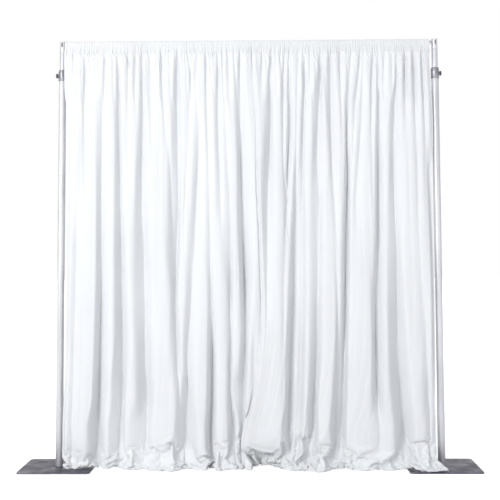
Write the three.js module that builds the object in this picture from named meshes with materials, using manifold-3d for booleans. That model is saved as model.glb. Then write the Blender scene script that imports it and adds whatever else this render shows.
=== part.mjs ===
// Pipe and drape backdrop: two telescopic uprights on flat steel bases, a telescopic
// crossbar hooked into their slotted crowns, and two gathered drapes on the crossbar.
// Millimetres, +Z up. The front of the drapes faces -Y, and the origin is on the floor
// midway between the uprights.

import * as THREE from "three";
import { mergeVertices } from "three/addons/utils/BufferGeometryUtils.js";
import Module from "manifold-3d";

const wasm = await Module();
wasm.setup();

// Overall sizes, as set up
const uprightHeight = 2438; // floor to the top of the crowns
const uprightSpacing = 2160; // axis to axis
const runningGap = 0.3; // between pieces that touch or slide
const cutOverrun = 5; // how far a cutting tool runs past a face
const roundSides = 32; // sides of a tube
const smallRoundSides = 20; // sides of a pin or screw

// Base plate, its pin and the screw that holds the pin from below
const plateWidth = 406;
const plateDepth = 356;
const plateThickness = 6.35;
const plateCornerRadius = 22;
const cornerSteps = 5;
const pinClearance = 0.5; // all round, inside the lower tube
const pinHeight = 150;
const pinWall = 3;
const pinFloorThickness = 22;
const pinChamfer = 3;
const screwShankDiameter = 8;
const screwHeadDiameter = 16;
const screwHeadHeight = 4;
const screwShankLength = 16;
const screwRecess = 0.4;

// Uprights
const tubeWall = 1.5;
const lowerTubeDiameter = 42;
const upperTubeDiameter = 35;
const mastExposure = 170; // of the mast above the guide bush, crown included
const mastTravel = 610; // from this setting to the tallest one
const mastGrip = 250; // of mast left in the lower tube at the tallest setting
const bushFlangeThickness = 3;
const bushSleeveLength = 75;
const glideHeight = 14;
const spigotLength = 30;

// Lock collar and its thumb screw
const collarHeight = 57;
const collarWall = 2.2;
const collarSetback = 1.5; // below the end of the lower tube
const bossDiameter = 18;
const bossReach = 3.5; // beyond the collar
const lockDepth = 26; // of the screw's axis below the collar's top
const lockStemDiameter = 8;
const knobDiameter = 27;
const knobThickness = 9;
const knobGripDepth = 1.6; // of the scallops round its rim
const knobGripCount = 8;
const knobOutlineSteps = 40;
const knobSocketDepth = 5.5;

// Crown at the top of each mast
const crownRingLength = 60;
const crownWall = 4;
const crownSlotWidth = 9;
const crownSlotDepth = 34;

// Crossbar
const barTubeDiameter = 35;
const barTubeWall = 1.5;
const barInnerDiameter = 28.6;
const barEndGap = 10; // from the crown to the end of the bar
const barNarrowing = 331; // travel from this setting to the narrowest
const barWidening = 888; // travel from this setting to the widest
const barMouthGap = 14; // from the mouth to the hook's end at the narrowest setting
const barLeastOverlap = 150;
const barBushLength = 40;
const barGlideLength = 12;
const hookThickness = 6;
const hookNeckHeight = 24;
const hookLegWidth = 7;
const hookLegDrop = 22;
const hookLegClearance = 0.8;
const hookPlugLength = 42;
const rivetDiameter = 5;
const rivetSetback = 20; // from the end of the bar

// Drapes
const clothThickness = 3;
const drapeEndGap = 30; // from an upright's axis to the drape's side edge
const drapeMeetingGap = 8; // between the two drapes
const pocketDepth = 52; // from the bar's axis down to the stitch line
const pocketHemWidth = 8; // of the closed strip at the stitch line
const pocketArcSteps = 12;
const foldDepth = 90; // from the crests of the folds back to their valleys, at the hem
const crestLeadShare = 0.62; // of a fold's depth that stands in front of the bar's axis
const crestSwellShare = 0.06; // of a fold's depth that a crest swells between its valleys
const edgeTurnShare = 0.25; // of a fold's depth that the side edges turn back
const valleyFloorShare = 0.3; // of a valley's reach that lies at its full depth
const bodyRowShares = [0.1, 0.32, 0.58, 0.82, 0.94, 0.985, 1];
const rowDepthShares = [1, 0.92, 0.8, 0.6, 0.35, 0.17, 0.08];
const poolHeight = 90; // of the crumpled cloth that lies along the floor
const poolDepth = 70; // how far it runs out in front of the folds
const poolBackShare = 0.4; // of that depth that its rear side runs out too
const poolRowShares = [0, 0.5, 1];
const poolLeadShares = [1, 0.6, 0];

// Each valley between two folds: its place across the drape at the head, halfway down and
// at the hem, how far it reaches to each side, and how deep it is
const valleyShares = {
  left: [
    { head: 0.205, middle: 0.184, hem: 0.167, reach: 0.033, depth: 0.85 },
    { head: 0.277, middle: 0.303, hem: 0.297, reach: 0.028, depth: 0.6 },
    { head: 0.41, middle: 0.412, hem: 0.436, reach: 0.036, depth: 0.6 },
    { head: 0.522, middle: 0.538, hem: 0.55, reach: 0.022, depth: 0.2 },
    { head: 0.605, middle: 0.591, hem: 0.644, reach: 0.033, depth: 1 },
    { head: 0.766, middle: 0.791, hem: 0.792, reach: 0.024, depth: 0.8 },
    { head: 0.833, middle: 0.887, hem: 0.896, reach: 0.018, depth: 0.55 },
    { head: 0.949, middle: 0.975, hem: 0.945, reach: 0.018, depth: 0.8 },
  ],
  right: [
    { head: 0.086, middle: 0.09, hem: 0.057, reach: 0.025, depth: 0.25 },
    { head: 0.267, middle: 0.246, hem: 0.239, reach: 0.048, depth: 1 },
    { head: 0.392, middle: 0.36, hem: 0.339, reach: 0.022, depth: 0.8 },
    { head: 0.564, middle: 0.522, hem: 0.485, reach: 0.036, depth: 0.9 },
    { head: 0.635, middle: 0.628, hem: 0.642, reach: 0.022, depth: 0.3 },
    { head: 0.712, middle: 0.701, hem: 0.729, reach: 0.024, depth: 0.7 },
    { head: 0.803, middle: 0.807, hem: 0.827, reach: 0.03, depth: 1 },
    { head: 0.953, middle: 0.973, hem: 0.979, reach: 0.016, depth: 0.35 },
  ],
};

// Heights and radii that follow
const standFloor = plateThickness + runningGap;
const lowerTubeRadius = lowerTubeDiameter / 2;
const lowerBoreRadius = lowerTubeRadius - tubeWall;
const upperTubeRadius = upperTubeDiameter / 2;
const upperBoreRadius = upperTubeRadius - tubeWall;
const bushTop = uprightHeight - mastExposure;
const lowerTubeTop = bushTop - bushFlangeThickness - runningGap;
const mastBottom = bushTop - mastTravel - mastGrip;
const crownBottom = uprightHeight - crownRingLength;
const crownBoreRadius = upperTubeRadius - crownWall;
const slotBottom = uprightHeight - crownSlotDepth;
const collarTop = lowerTubeTop - collarSetback;
const lockHeight = collarTop - lockDepth;
const barRadius = barTubeDiameter / 2;
const barInnerRadius = barInnerDiameter / 2;
const barAxisHeight = slotBottom + runningGap + hookNeckHeight / 2;
const uprightX = uprightSpacing / 2;
const barEndX = uprightX - upperTubeRadius - barEndGap;
const barMouthX = barEndX - barNarrowing - barMouthGap;
const barInnerStartX = barMouthX - barWidening - barLeastOverlap;

// Finishes. Each piece gets a material of its own.
function finish(color, roughness, metalness) {
  return new THREE.MeshStandardMaterial({ color, roughness, metalness });
}
const tubeMetal = () => finish(0xb9bbc0, 0.32, 1);
const plateSteel = () => finish(0x85868c, 0.45, 1);
const zincSteel = () => finish(0x9a9ba0, 0.4, 1);
const darkPlastic = () => finish(0x2c2b30, 0.55, 0);
const whiteCloth = () => finish(0xf3f4f6, 0.9, 0);

// A closed geometry as a solid that can be cut and joined
function solidOf(geometry) {
  const bare = new THREE.BufferGeometry();
  bare.setAttribute("position", geometry.getAttribute("position"));
  if (geometry.index) bare.setIndex(geometry.index);
  const merged = mergeVertices(bare);
  return new wasm.Manifold(
    new wasm.Mesh({
      numProp: 3,
      vertProperties: new Float32Array(merged.getAttribute("position").array),
      triVerts: new Uint32Array(merged.index.array),
    }),
  );
}

function geometryOf(solid) {
  const mesh = solid.getMesh();
  const geometry = new THREE.BufferGeometry();
  geometry.setAttribute("position", new THREE.BufferAttribute(mesh.vertProperties, 3));
  geometry.setIndex(new THREE.BufferAttribute(mesh.triVerts, 1));
  return geometry;
}

function cut(geometry, ...tools) {
  return geometryOf(tools.reduce((solid, tool) => solid.subtract(solidOf(tool)), solidOf(geometry)));
}

function join(geometry, ...others) {
  return geometryOf(others.reduce((solid, other) => solid.add(solidOf(other)), solidOf(geometry)));
}

// Turns a closed outline of [radius, height] points round the Z axis
function turned(outline, sides = roundSides) {
  const points = outline.map(([radius, height]) => new THREE.Vector2(radius, height));
  points.push(points[0].clone());
  return new THREE.LatheGeometry(points, sides).rotateX(Math.PI / 2);
}

function tube(outerRadius, innerRadius, bottom, top, sides = roundSides) {
  return turned(
    [
      [innerRadius, bottom],
      [outerRadius, bottom],
      [outerRadius, top],
      [innerRadius, top],
    ],
    sides,
  );
}

function rod(radius, bottom, top, sides = smallRoundSides) {
  const length = top - bottom;
  return new THREE.CylinderGeometry(radius, radius, length, sides)
    .rotateX(Math.PI / 2)
    .translate(0, 0, bottom + length / 2);
}

// Lays a shape made along Z along X, or along Y, through the origin
function alongX(geometry) {
  const turn = new THREE.Matrix4().makeBasis(
    new THREE.Vector3(0, 1, 0),
    new THREE.Vector3(0, 0, 1),
    new THREE.Vector3(1, 0, 0),
  );
  return geometry.applyMatrix4(turn);
}

function alongY(geometry) {
  return geometry.rotateX(-Math.PI / 2);
}

function slab(outline, thickness, holes = []) {
  const shape = new THREE.Shape(outline.map(([x, y]) => new THREE.Vector2(x, y)));
  shape.holes = holes.map((hole) => new THREE.Path(hole.map(([x, y]) => new THREE.Vector2(x, y))));
  return new THREE.ExtrudeGeometry(shape, { depth: thickness, bevelEnabled: false });
}

function box(width, depth, height) {
  return new THREE.BoxGeometry(width, depth, height);
}

function addPiece(parent, name, geometry, material) {
  const mesh = new THREE.Mesh(geometry, material);
  mesh.name = name;
  parent.add(mesh);
}

// Flat steel base with rounded corners and a countersunk hole for the pin's screw
function basePlate() {
  const halfWidth = plateWidth / 2;
  const halfDepth = plateDepth / 2;
  const outline = [];
  const corners = [
    [halfWidth - plateCornerRadius, halfDepth - plateCornerRadius],
    [plateCornerRadius - halfWidth, halfDepth - plateCornerRadius],
    [plateCornerRadius - halfWidth, plateCornerRadius - halfDepth],
    [halfWidth - plateCornerRadius, plateCornerRadius - halfDepth],
  ];
  corners.forEach(([x, y], quarter) => {
    for (let step = 0; step <= cornerSteps; step += 1) {
      const angle = ((quarter + step / cornerSteps) * Math.PI) / 2;
      outline.push([x + plateCornerRadius * Math.cos(angle), y + plateCornerRadius * Math.sin(angle)]);
    }
  });
  return cut(slab(outline, plateThickness), screwRoom());
}

// The room that the countersunk screw needs in the plate
function screwRoom() {
  const shankRadius = screwShankDiameter / 2 + runningGap;
  const headRadius = screwHeadDiameter / 2 + runningGap;
  return turned(
    [
      [0, -cutOverrun],
      [headRadius, -cutOverrun],
      [headRadius, screwRecess],
      [shankRadius, screwRecess + screwHeadHeight],
      [shankRadius, plateThickness + cutOverrun],
      [0, plateThickness + cutOverrun],
    ],
    smallRoundSides,
  );
}

function pinScrew() {
  const shankRadius = screwShankDiameter / 2;
  const shankTop = screwRecess + screwHeadHeight + screwShankLength;
  return turned(
    [
      [0, screwRecess],
      [screwHeadDiameter / 2, screwRecess],
      [shankRadius, screwRecess + screwHeadHeight],
      [shankRadius, shankTop],
      [0, shankTop],
    ],
    smallRoundSides,
  );
}

// Hollow pin that the upright slips over, with a drilled floor and a chamfered top
function basePin() {
  const outerRadius = lowerBoreRadius - pinClearance;
  const boreRadius = outerRadius - pinWall;
  const holeRadius = screwShankDiameter / 2 + runningGap;
  const top = standFloor + pinHeight;
  const floorTop = standFloor + pinFloorThickness;
  return turned([
    [holeRadius, standFloor],
    [outerRadius, standFloor],
    [outerRadius, top - pinChamfer],
    [outerRadius - pinWall / 2, top],
    [boreRadius, top],
    [boreRadius, floorTop],
    [holeRadius, floorTop],
  ]);
}

// A hole for the thumb screw, from the axis out through the +X wall
function lockHole() {
  const radius = lockStemDiameter / 2 + runningGap;
  const reach = lowerTubeRadius + collarWall + bossReach + cutOverrun;
  return alongX(rod(radius, 0, reach)).translate(0, 0, lockHeight);
}

function lowerUpright() {
  return cut(tube(lowerTubeRadius, lowerBoreRadius, standFloor, lowerTubeTop), lockHole());
}

// Plastic bush in the mouth of the lower tube: a flange on a sleeve
function guideBush() {
  const boreRadius = upperTubeRadius + runningGap;
  const sleeveRadius = lowerBoreRadius - runningGap;
  const flangeBottom = bushTop - bushFlangeThickness;
  const bush = turned([
    [boreRadius, flangeBottom - bushSleeveLength],
    [sleeveRadius, flangeBottom - bushSleeveLength],
    [sleeveRadius, flangeBottom],
    [lowerTubeRadius, flangeBottom],
    [lowerTubeRadius, bushTop],
    [boreRadius, bushTop],
  ]);
  return cut(bush, lockHole());
}

// Steel band round the top of the lower tube, with a boss that the thumb screw passes
function lockCollar() {
  const innerRadius = lowerTubeRadius + runningGap;
  const outerRadius = innerRadius + collarWall;
  const band = tube(outerRadius, innerRadius, collarTop - collarHeight, collarTop);
  const boss = alongX(rod(bossDiameter / 2, outerRadius - collarWall, outerRadius + bossReach));
  const clearBore = rod(innerRadius, lockHeight - bossDiameter, lockHeight + bossDiameter, roundSides);
  return cut(join(band, boss.translate(0, 0, lockHeight)), clearBore, lockHole());
}

const bossFaceX = lowerTubeRadius + runningGap + collarWall + bossReach;
const knobStartX = bossFaceX + runningGap;

function lockStem() {
  const start = upperTubeRadius + runningGap;
  const end = knobStartX + knobSocketDepth - runningGap;
  return alongX(rod(lockStemDiameter / 2, start, end)).translate(0, 0, lockHeight);
}

// Plastic knob with a scalloped rim and a socket for the stem
function lockKnob() {
  const outline = [];
  for (let step = 0; step < knobOutlineSteps; step += 1) {
    const angle = (step / knobOutlineSteps) * 2 * Math.PI;
    const dip = (knobGripDepth / 2) * (1 - Math.cos(knobGripCount * angle));
    const radius = knobDiameter / 2 - dip;
    outline.push([radius * Math.cos(angle), radius * Math.sin(angle)]);
  }
  const knob = alongX(slab(outline, knobThickness).translate(0, 0, knobStartX));
  const socketRadius = lockStemDiameter / 2 + runningGap;
  const socket = alongX(rod(socketRadius, knobStartX - cutOverrun, knobStartX + knobSocketDepth));
  return cut(knob, socket).translate(0, 0, lockHeight);
}

function upperUpright() {
  return tube(upperTubeRadius, upperBoreRadius, mastBottom, crownBottom - runningGap);
}

// Plastic plug in the foot of the mast, which slides in the lower tube
function mastGlide() {
  const glideTop = mastBottom - runningGap;
  const spigotRadius = upperBoreRadius - runningGap;
  return turned([
    [0, glideTop - glideHeight],
    [lowerBoreRadius - runningGap, glideTop - glideHeight],
    [lowerBoreRadius - runningGap, glideTop],
    [spigotRadius, glideTop],
    [spigotRadius, glideTop + spigotLength],
    [0, glideTop + spigotLength],
  ]);
}

// Slotted crown: a ring with four open slots on a spigot pressed into the mast
function crown() {
  const spigotRadius = upperBoreRadius - runningGap;
  const ring = turned([
    [crownBoreRadius, crownBottom - spigotLength],
    [spigotRadius, crownBottom - spigotLength],
    [spigotRadius, crownBottom],
    [upperTubeRadius, crownBottom],
    [upperTubeRadius, uprightHeight],
    [crownBoreRadius, uprightHeight],
  ]);
  const slotHeight = crownSlotDepth + cutOverrun;
  const slotLength = upperTubeDiameter + 2 * cutOverrun;
  const slotMiddle = slotBottom + slotHeight / 2;
  const slotX = box(slotLength, crownSlotWidth, slotHeight).translate(0, 0, slotMiddle);
  const slotY = box(crownSlotWidth, slotLength, slotHeight).translate(0, 0, slotMiddle);
  return cut(ring, slotX, slotY);
}

// One stand, with its thumb screw on the +X side
function stand(side) {
  const group = new THREE.Group();
  addPiece(group, `base_plate_${side}`, basePlate(), plateSteel());
  addPiece(group, `base_pin_${side}`, basePin(), zincSteel());
  addPiece(group, `pin_screw_${side}`, pinScrew(), zincSteel());
  addPiece(group, `lower_upright_${side}`, lowerUpright(), tubeMetal());
  addPiece(group, `guide_bush_${side}`, guideBush(), darkPlastic());
  addPiece(group, `lock_collar_${side}`, lockCollar(), zincSteel());
  addPiece(group, `lock_stem_${side}`, lockStem(), zincSteel());
  addPiece(group, `lock_knob_${side}`, lockKnob(), darkPlastic());
  addPiece(group, `upper_upright_${side}`, upperUpright(), tubeMetal());
  addPiece(group, `mast_glide_${side}`, mastGlide(), darkPlastic());
  addPiece(group, `crown_${side}`, crown(), tubeMetal());
  return group;
}

// A hook for the +X end of a bar: a plug in the tube and a flat tongue over the crown's wall
function barHook(plugRadius) {
  const neckTop = barAxisHeight + hookNeckHeight / 2;
  const neckBottom = barAxisHeight - hookNeckHeight / 2;
  const legStart = uprightX - crownBoreRadius + hookLegClearance;
  const legEnd = legStart + hookLegWidth;
  const legBottom = slotBottom - hookLegDrop;
  const rootX = barEndX - rivetDiameter;
  const outline = [
    [rootX, neckBottom],
    [legStart, neckBottom],
    [legStart, legBottom],
    [legEnd, legBottom],
    [legEnd, neckTop],
    [rootX, neckTop],
  ];
  const tongue = slab(outline, hookThickness)
    .rotateX(Math.PI / 2)
    .translate(0, hookThickness / 2, 0);
  const plug = alongX(rod(plugRadius, barEndX - hookPlugLength, barEndX, roundSides));
  const tubeRoom = alongX(rod(upperTubeDiameter, barEndX - hookPlugLength, barEndX, roundSides));
  const trimmed = cut(tongue, cut(tubeRoom, plug.clone()).translate(0, 0, barAxisHeight));
  return cut(join(plug.translate(0, 0, barAxisHeight), trimmed), rivetHole());
}

function rivetHole() {
  const radius = rivetDiameter / 2 + runningGap;
  const reach = barRadius + cutOverrun;
  return alongY(rod(radius, -reach, reach)).translate(barEndX - rivetSetback, 0, barAxisHeight);
}

function hookRivet(tubeRadius) {
  return alongY(rod(rivetDiameter / 2, -tubeRadius, tubeRadius)).translate(
    barEndX - rivetSetback,
    0,
    barAxisHeight,
  );
}

function crossbarOuter() {
  const bar = alongX(tube(barRadius, barRadius - barTubeWall, -barEndX, barMouthX));
  return cut(bar.translate(0, 0, barAxisHeight), rivetHole().rotateZ(Math.PI));
}

function crossbarInner() {
  const bar = alongX(tube(barInnerRadius, barInnerRadius - barTubeWall, barInnerStartX, barEndX));
  return cut(bar.translate(0, 0, barAxisHeight), rivetHole());
}

// Plastic bush in the mouth of the outer bar
function crossbarBush() {
  const boreRadius = barInnerRadius + runningGap;
  const sleeveRadius = barRadius - barTubeWall - runningGap;
  const flangeStart = barMouthX + runningGap;
  const bush = turned([
    [boreRadius, flangeStart - barBushLength],
    [sleeveRadius, flangeStart - barBushLength],
    [sleeveRadius, flangeStart],
    [barRadius, flangeStart],
    [barRadius, flangeStart + bushFlangeThickness],
    [boreRadius, flangeStart + bushFlangeThickness],
  ]);
  return alongX(bush).translate(0, 0, barAxisHeight);
}

// Plastic plug on the hidden end of the inner bar, which slides in the outer one
function crossbarGlide() {
  const glideEnd = barInnerStartX - runningGap;
  const glideRadius = barRadius - barTubeWall - runningGap;
  const spigotRadius = barInnerRadius - barTubeWall - runningGap;
  const glide = turned([
    [0, glideEnd - barGlideLength],
    [glideRadius, glideEnd - barGlideLength],
    [glideRadius, glideEnd],
    [spigotRadius, glideEnd],
    [spigotRadius, glideEnd + spigotLength],
    [0, glideEnd + spigotLength],
  ]);
  return alongX(glide).translate(0, 0, barAxisHeight);
}

function crossbar() {
  const group = new THREE.Group();
  const outerPlugRadius = barRadius - barTubeWall - runningGap;
  const innerPlugRadius = barInnerRadius - barTubeWall - runningGap;
  const hookLeft = barHook(outerPlugRadius).rotateZ(Math.PI);
  const rivetLeft = hookRivet(barRadius).rotateZ(Math.PI);
  addPiece(group, "crossbar_outer_tube", crossbarOuter(), tubeMetal());
  addPiece(group, "crossbar_inner_tube", crossbarInner(), tubeMetal());
  addPiece(group, "crossbar_bush", crossbarBush(), darkPlastic());
  addPiece(group, "crossbar_glide", crossbarGlide(), darkPlastic());
  addPiece(group, "crossbar_hook_left", hookLeft, zincSteel());
  addPiece(group, "crossbar_hook_right", barHook(innerPlugRadius), zincSteel());
  addPiece(group, "hook_rivet_left", rivetLeft, zincSteel());
  addPiece(group, "hook_rivet_right", hookRivet(barInnerRadius), zincSteel());
  return group;
}

// A closed shell between two grids of points. Rows climb, columns run along +X, and the
// first grid faces -Y.
function shell(front, back) {
  const rows = front.length;
  const columns = front[0].length;
  const index = (side, row, column) => (side * rows + row) * columns + column;
  const faces = [];
  const quad = (a, b, c, d) => faces.push(a, b, c, a, c, d);
  for (let r = 0; r < rows - 1; r += 1) {
    for (let c = 0; c < columns - 1; c += 1) {
      quad(index(0, r, c), index(0, r, c + 1), index(0, r + 1, c + 1), index(0, r + 1, c));
      quad(index(1, r, c), index(1, r + 1, c), index(1, r + 1, c + 1), index(1, r, c + 1));
    }
    const last = columns - 1;
    quad(index(0, r, 0), index(0, r + 1, 0), index(1, r + 1, 0), index(1, r, 0));
    quad(index(0, r, last), index(1, r, last), index(1, r + 1, last), index(0, r + 1, last));
  }
  for (let c = 0; c < columns - 1; c += 1) {
    const top = rows - 1;
    quad(index(0, 0, c), index(1, 0, c), index(1, 0, c + 1), index(0, 0, c + 1));
    quad(index(0, top, c), index(0, top, c + 1), index(1, top, c + 1), index(1, top, c));
  }
  const geometry = new THREE.BufferGeometry();
  const points = [...front.flat(), ...back.flat()].flat();
  geometry.setAttribute("position", new THREE.Float32BufferAttribute(points, 3));
  geometry.setIndex(faces);
  return geometry;
}

// Where a valley lies across the drape at a height share
function valleyPlace(valley, heightShare) {
  const mix = THREE.MathUtils.lerp;
  const climb = 2 * heightShare;
  return climb < 1
    ? mix(valley.hem, valley.middle, climb)
    : mix(valley.middle, valley.head, climb - 1);
}

// The drape's columns at a height share: each one's place across, and how deep it lies
function foldColumns(side, heightShare) {
  const columns = [{ place: 0, depth: edgeTurnShare }];
  const rise = (place) => {
    const last = columns[columns.length - 1].place;
    columns.push({ place: (last + place) / 2, depth: -crestSwellShare });
  };
  for (const valley of valleyShares[side]) {
    const { reach, depth } = valley;
    const middle = valleyPlace(valley, heightShare);
    const floor = reach * valleyFloorShare;
    rise(middle - reach);
    columns.push({ place: middle - reach, depth: 0 });
    columns.push({ place: middle - floor, depth });
    columns.push({ place: middle + floor, depth });
    columns.push({ place: middle + reach, depth: 0 });
  }
  rise(1);
  columns.push({ place: 1, depth: edgeTurnShare });
  return columns;
}

// One row of the drape's front and back points. The pool stands out by its lead.
function drapeRow(side, start, end, height, heightShare, depthShare, lead) {
  const deepest = foldDepth * depthShare;
  const front = [];
  const back = [];
  for (const column of foldColumns(side, heightShare)) {
    const x = start + (end - start) * column.place;
    const y = deepest * (column.depth - crestLeadShare);
    front.push([x, y - lead - clothThickness / 2, height]);
    back.push([x, y - lead * poolBackShare + clothThickness / 2, height]);
  }
  return { front, back };
}

// The hem lies on the floor, and on the base plate from one column before it meets one
function layHem(points) {
  const plateInnerX = uprightX - plateWidth / 2 - runningGap;
  const overPlate = points.map(([x]) => Math.abs(x) > plateInnerX);
  points.forEach((point, i) => {
    const lifted = overPlate[i - 1] || overPlate[i] || overPlate[i + 1];
    point[2] = lifted ? standFloor : runningGap;
  });
}

// The sewn pocket round the bar: its sides run straight from the bar to the stitch line
function rodPocket(start, end) {
  const hemTop = pocketDepth - pocketHemWidth;
  const lean = Math.asin((barRadius + runningGap) / hemTop);
  const stepAngle = (Math.PI + 2 * lean) / pocketArcSteps;
  const innerRadius = (barRadius + runningGap) / Math.cos(stepAngle / 2);
  const arc = (radius) => {
    const points = [];
    for (let step = 0; step <= pocketArcSteps; step += 1) {
      const angle = stepAngle * step - lean;
      points.push([radius * Math.cos(angle), radius * Math.sin(angle)]);
    }
    return points;
  };
  const halfHem = pocketHemWidth / 2;
  const foot = [
    [-halfHem, -pocketDepth],
    [halfHem, -pocketDepth],
  ];
  const hole = [...arc(innerRadius), [0, -hemTop]];
  const outline = [...arc(innerRadius + clothThickness), ...foot];
  const pocket = slab(outline, end - start, [hole]).translate(0, 0, start);
  return alongX(pocket).translate(0, 0, barAxisHeight);
}

function drape(side, start, end) {
  const stitchHeight = barAxisHeight - pocketDepth;
  const headHeight = stitchHeight + pocketHemWidth / 2;
  const rows = poolRowShares.map((share, i) =>
    drapeRow(side, start, end, poolHeight * share, 0, 1, poolDepth * poolLeadShares[i]),
  );
  layHem(rows[0].front);
  layHem(rows[0].back);
  bodyRowShares.forEach((share, i) => {
    const height = THREE.MathUtils.lerp(poolHeight, headHeight, share);
    rows.push(drapeRow(side, start, end, height, share, rowDepthShares[i], 0));
  });
  const sheet = shell(
    rows.map((row) => row.front),
    rows.map((row) => row.back),
  );
  return join(sheet, rodPocket(start, end));
}

function drapes() {
  const group = new THREE.Group();
  const outerX = uprightX - drapeEndGap;
  const innerX = drapeMeetingGap / 2;
  addPiece(group, "drape_left", drape("left", -outerX, -innerX), whiteCloth());
  addPiece(group, "drape_right", drape("right", innerX, outerX), whiteCloth());
  return group;
}

const backdrop = new THREE.Group();
const leftStand = stand("left");
leftStand.position.x = -uprightX;
leftStand.rotation.z = Math.PI;
const rightStand = stand("right");
rightStand.position.x = uprightX;
backdrop.add(leftStand, rightStand, crossbar(), drapes());

export default backdrop;
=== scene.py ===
import math

import bpy
import numpy as np
from mathutils import Matrix, Vector


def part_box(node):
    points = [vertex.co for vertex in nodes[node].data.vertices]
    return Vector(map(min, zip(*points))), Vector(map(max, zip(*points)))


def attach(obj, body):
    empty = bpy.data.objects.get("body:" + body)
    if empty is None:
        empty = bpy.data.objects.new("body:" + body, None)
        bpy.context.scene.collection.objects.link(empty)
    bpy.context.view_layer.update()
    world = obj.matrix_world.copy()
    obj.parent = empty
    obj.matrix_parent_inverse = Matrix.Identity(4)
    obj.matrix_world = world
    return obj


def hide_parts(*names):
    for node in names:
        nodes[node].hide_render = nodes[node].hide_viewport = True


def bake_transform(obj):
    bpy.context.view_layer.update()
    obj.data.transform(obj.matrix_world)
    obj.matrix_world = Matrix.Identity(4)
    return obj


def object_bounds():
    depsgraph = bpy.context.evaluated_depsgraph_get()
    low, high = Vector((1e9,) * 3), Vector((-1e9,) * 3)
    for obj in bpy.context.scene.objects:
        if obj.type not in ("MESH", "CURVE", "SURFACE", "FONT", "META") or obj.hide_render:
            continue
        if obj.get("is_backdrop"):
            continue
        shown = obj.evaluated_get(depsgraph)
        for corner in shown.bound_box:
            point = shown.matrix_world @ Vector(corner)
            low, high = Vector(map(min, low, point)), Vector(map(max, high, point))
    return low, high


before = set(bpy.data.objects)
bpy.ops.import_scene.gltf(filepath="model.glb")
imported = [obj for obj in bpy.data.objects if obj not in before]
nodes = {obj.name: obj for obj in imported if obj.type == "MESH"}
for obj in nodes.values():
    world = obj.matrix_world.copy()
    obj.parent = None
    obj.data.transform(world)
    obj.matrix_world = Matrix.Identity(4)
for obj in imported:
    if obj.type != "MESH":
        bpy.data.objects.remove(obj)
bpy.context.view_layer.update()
for shown in bpy.context.selected_objects:
    shown.select_set(False)
scene = bpy.context.scene
scene.view_settings.view_transform = "Standard"


# Camera
# The photograph was taken almost square on, from 5.4 metres away at chest height. The
# camera looks up a little and its frame is shifted down as much, so the horizon lies at
# half the picture's height.
camera_place = (0.097, -5.384, 1.219)
camera_turn, camera_tilt, camera_roll = 0.95, 3.71, -0.26
camera_data = bpy.data.cameras.new("camera")
camera_data.sensor_width = 36
camera_data.lens = 67.5
camera_data.shift_y = -0.1205
camera_data.clip_start = 0.1
camera_data.clip_end = 60
camera = bpy.data.objects.new("camera", camera_data)
scene.collection.objects.link(camera)
camera.matrix_world = (
    Matrix.Translation(camera_place)
    @ Matrix.Rotation(math.radians(camera_turn), 4, "Z")
    @ Matrix.Rotation(math.radians(90 + camera_tilt), 4, "X")
    @ Matrix.Rotation(math.radians(camera_roll), 4, "Z")
)
scene.camera = camera


# Studio floor and background
# A seamless white floor. Near the stands it takes their soft shadows, and further out it
# turns plain white to the eye, so it runs into the white background without a line.
floor_size = 70
floor_colour = (0.70, 0.70, 0.71)
shadow_reach, white_reach = 1.5, 4.2
white_near, white_far = 0.63, 1.0
background_light, ceiling_light, background_tint = 0.22, 0.80, (0.95, 0.97, 1.0)


def link(tree, output, socket):
    tree.links.new(output, socket)


def worked_out(tree, operation, first, second):
    """A sum, product or the like of two outputs."""
    node = tree.nodes.new("ShaderNodeMath")
    node.operation = operation
    link(tree, first, node.inputs[0])
    link(tree, second, node.inputs[1])
    return node.outputs[0]


def in_range(tree, value, start, end, low, high, steps="LINEAR"):
    """Runs from low to high as the value runs from start to end."""
    scale = tree.nodes.new("ShaderNodeMapRange")
    scale.interpolation_type = steps
    scale.inputs["From Min"].default_value = start
    scale.inputs["From Max"].default_value = end
    scale.inputs["To Min"].default_value = low
    scale.inputs["To Max"].default_value = high
    link(tree, value, scale.inputs["Value"])
    return scale.outputs["Result"]


def seen_directly(tree):
    """1 where a ray comes from the camera, a mirror or a glass, which see plain white."""
    ray = tree.nodes.new("ShaderNodeLightPath").outputs
    either = worked_out(tree, "MAXIMUM", ray["Is Camera Ray"], ray["Is Glossy Ray"])
    return worked_out(tree, "MAXIMUM", either, ray["Is Transmission Ray"])


bpy.ops.mesh.primitive_plane_add(size=floor_size)
floor = bpy.context.active_object
floor.name = "studio_floor"
floor_finish = bpy.data.materials.new("studio_floor_white")
floor_finish.use_nodes = True
tree = floor_finish.node_tree
tree.nodes.remove(tree.nodes["Principled BSDF"])
matt = tree.nodes.new("ShaderNodeBsdfDiffuse")
matt.inputs["Color"].default_value = (*floor_colour, 1)
place = tree.nodes.new("ShaderNodeTexCoord")
length = tree.nodes.new("ShaderNodeVectorMath")
length.operation = "LENGTH"
link(tree, place.outputs["Object"], length.inputs[0])
distance = length.outputs["Value"]
white = in_range(tree, distance, shadow_reach, white_reach, white_near, white_far, "SMOOTHSTEP")
glow = tree.nodes.new("ShaderNodeEmission")
link(tree, worked_out(tree, "MULTIPLY", white, seen_directly(tree)), glow.inputs["Strength"])
together = tree.nodes.new("ShaderNodeAddShader")
link(tree, matt.outputs[0], together.inputs[0])
link(tree, glow.outputs[0], together.inputs[1])
link(tree, together.outputs[0], tree.nodes["Material Output"].inputs["Surface"])
floor.data.materials.append(floor_finish)
floor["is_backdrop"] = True

world = bpy.data.worlds.new("studio")
scene.world = world
world.use_nodes = True
tree = world.node_tree
lighting = tree.nodes["Background"]
lighting.inputs["Color"].default_value = (*background_tint, 1)
upward = tree.nodes.new("ShaderNodeTexCoord")
parts = tree.nodes.new("ShaderNodeSeparateXYZ")
link(tree, upward.outputs["Generated"], parts.inputs[0])
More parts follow.
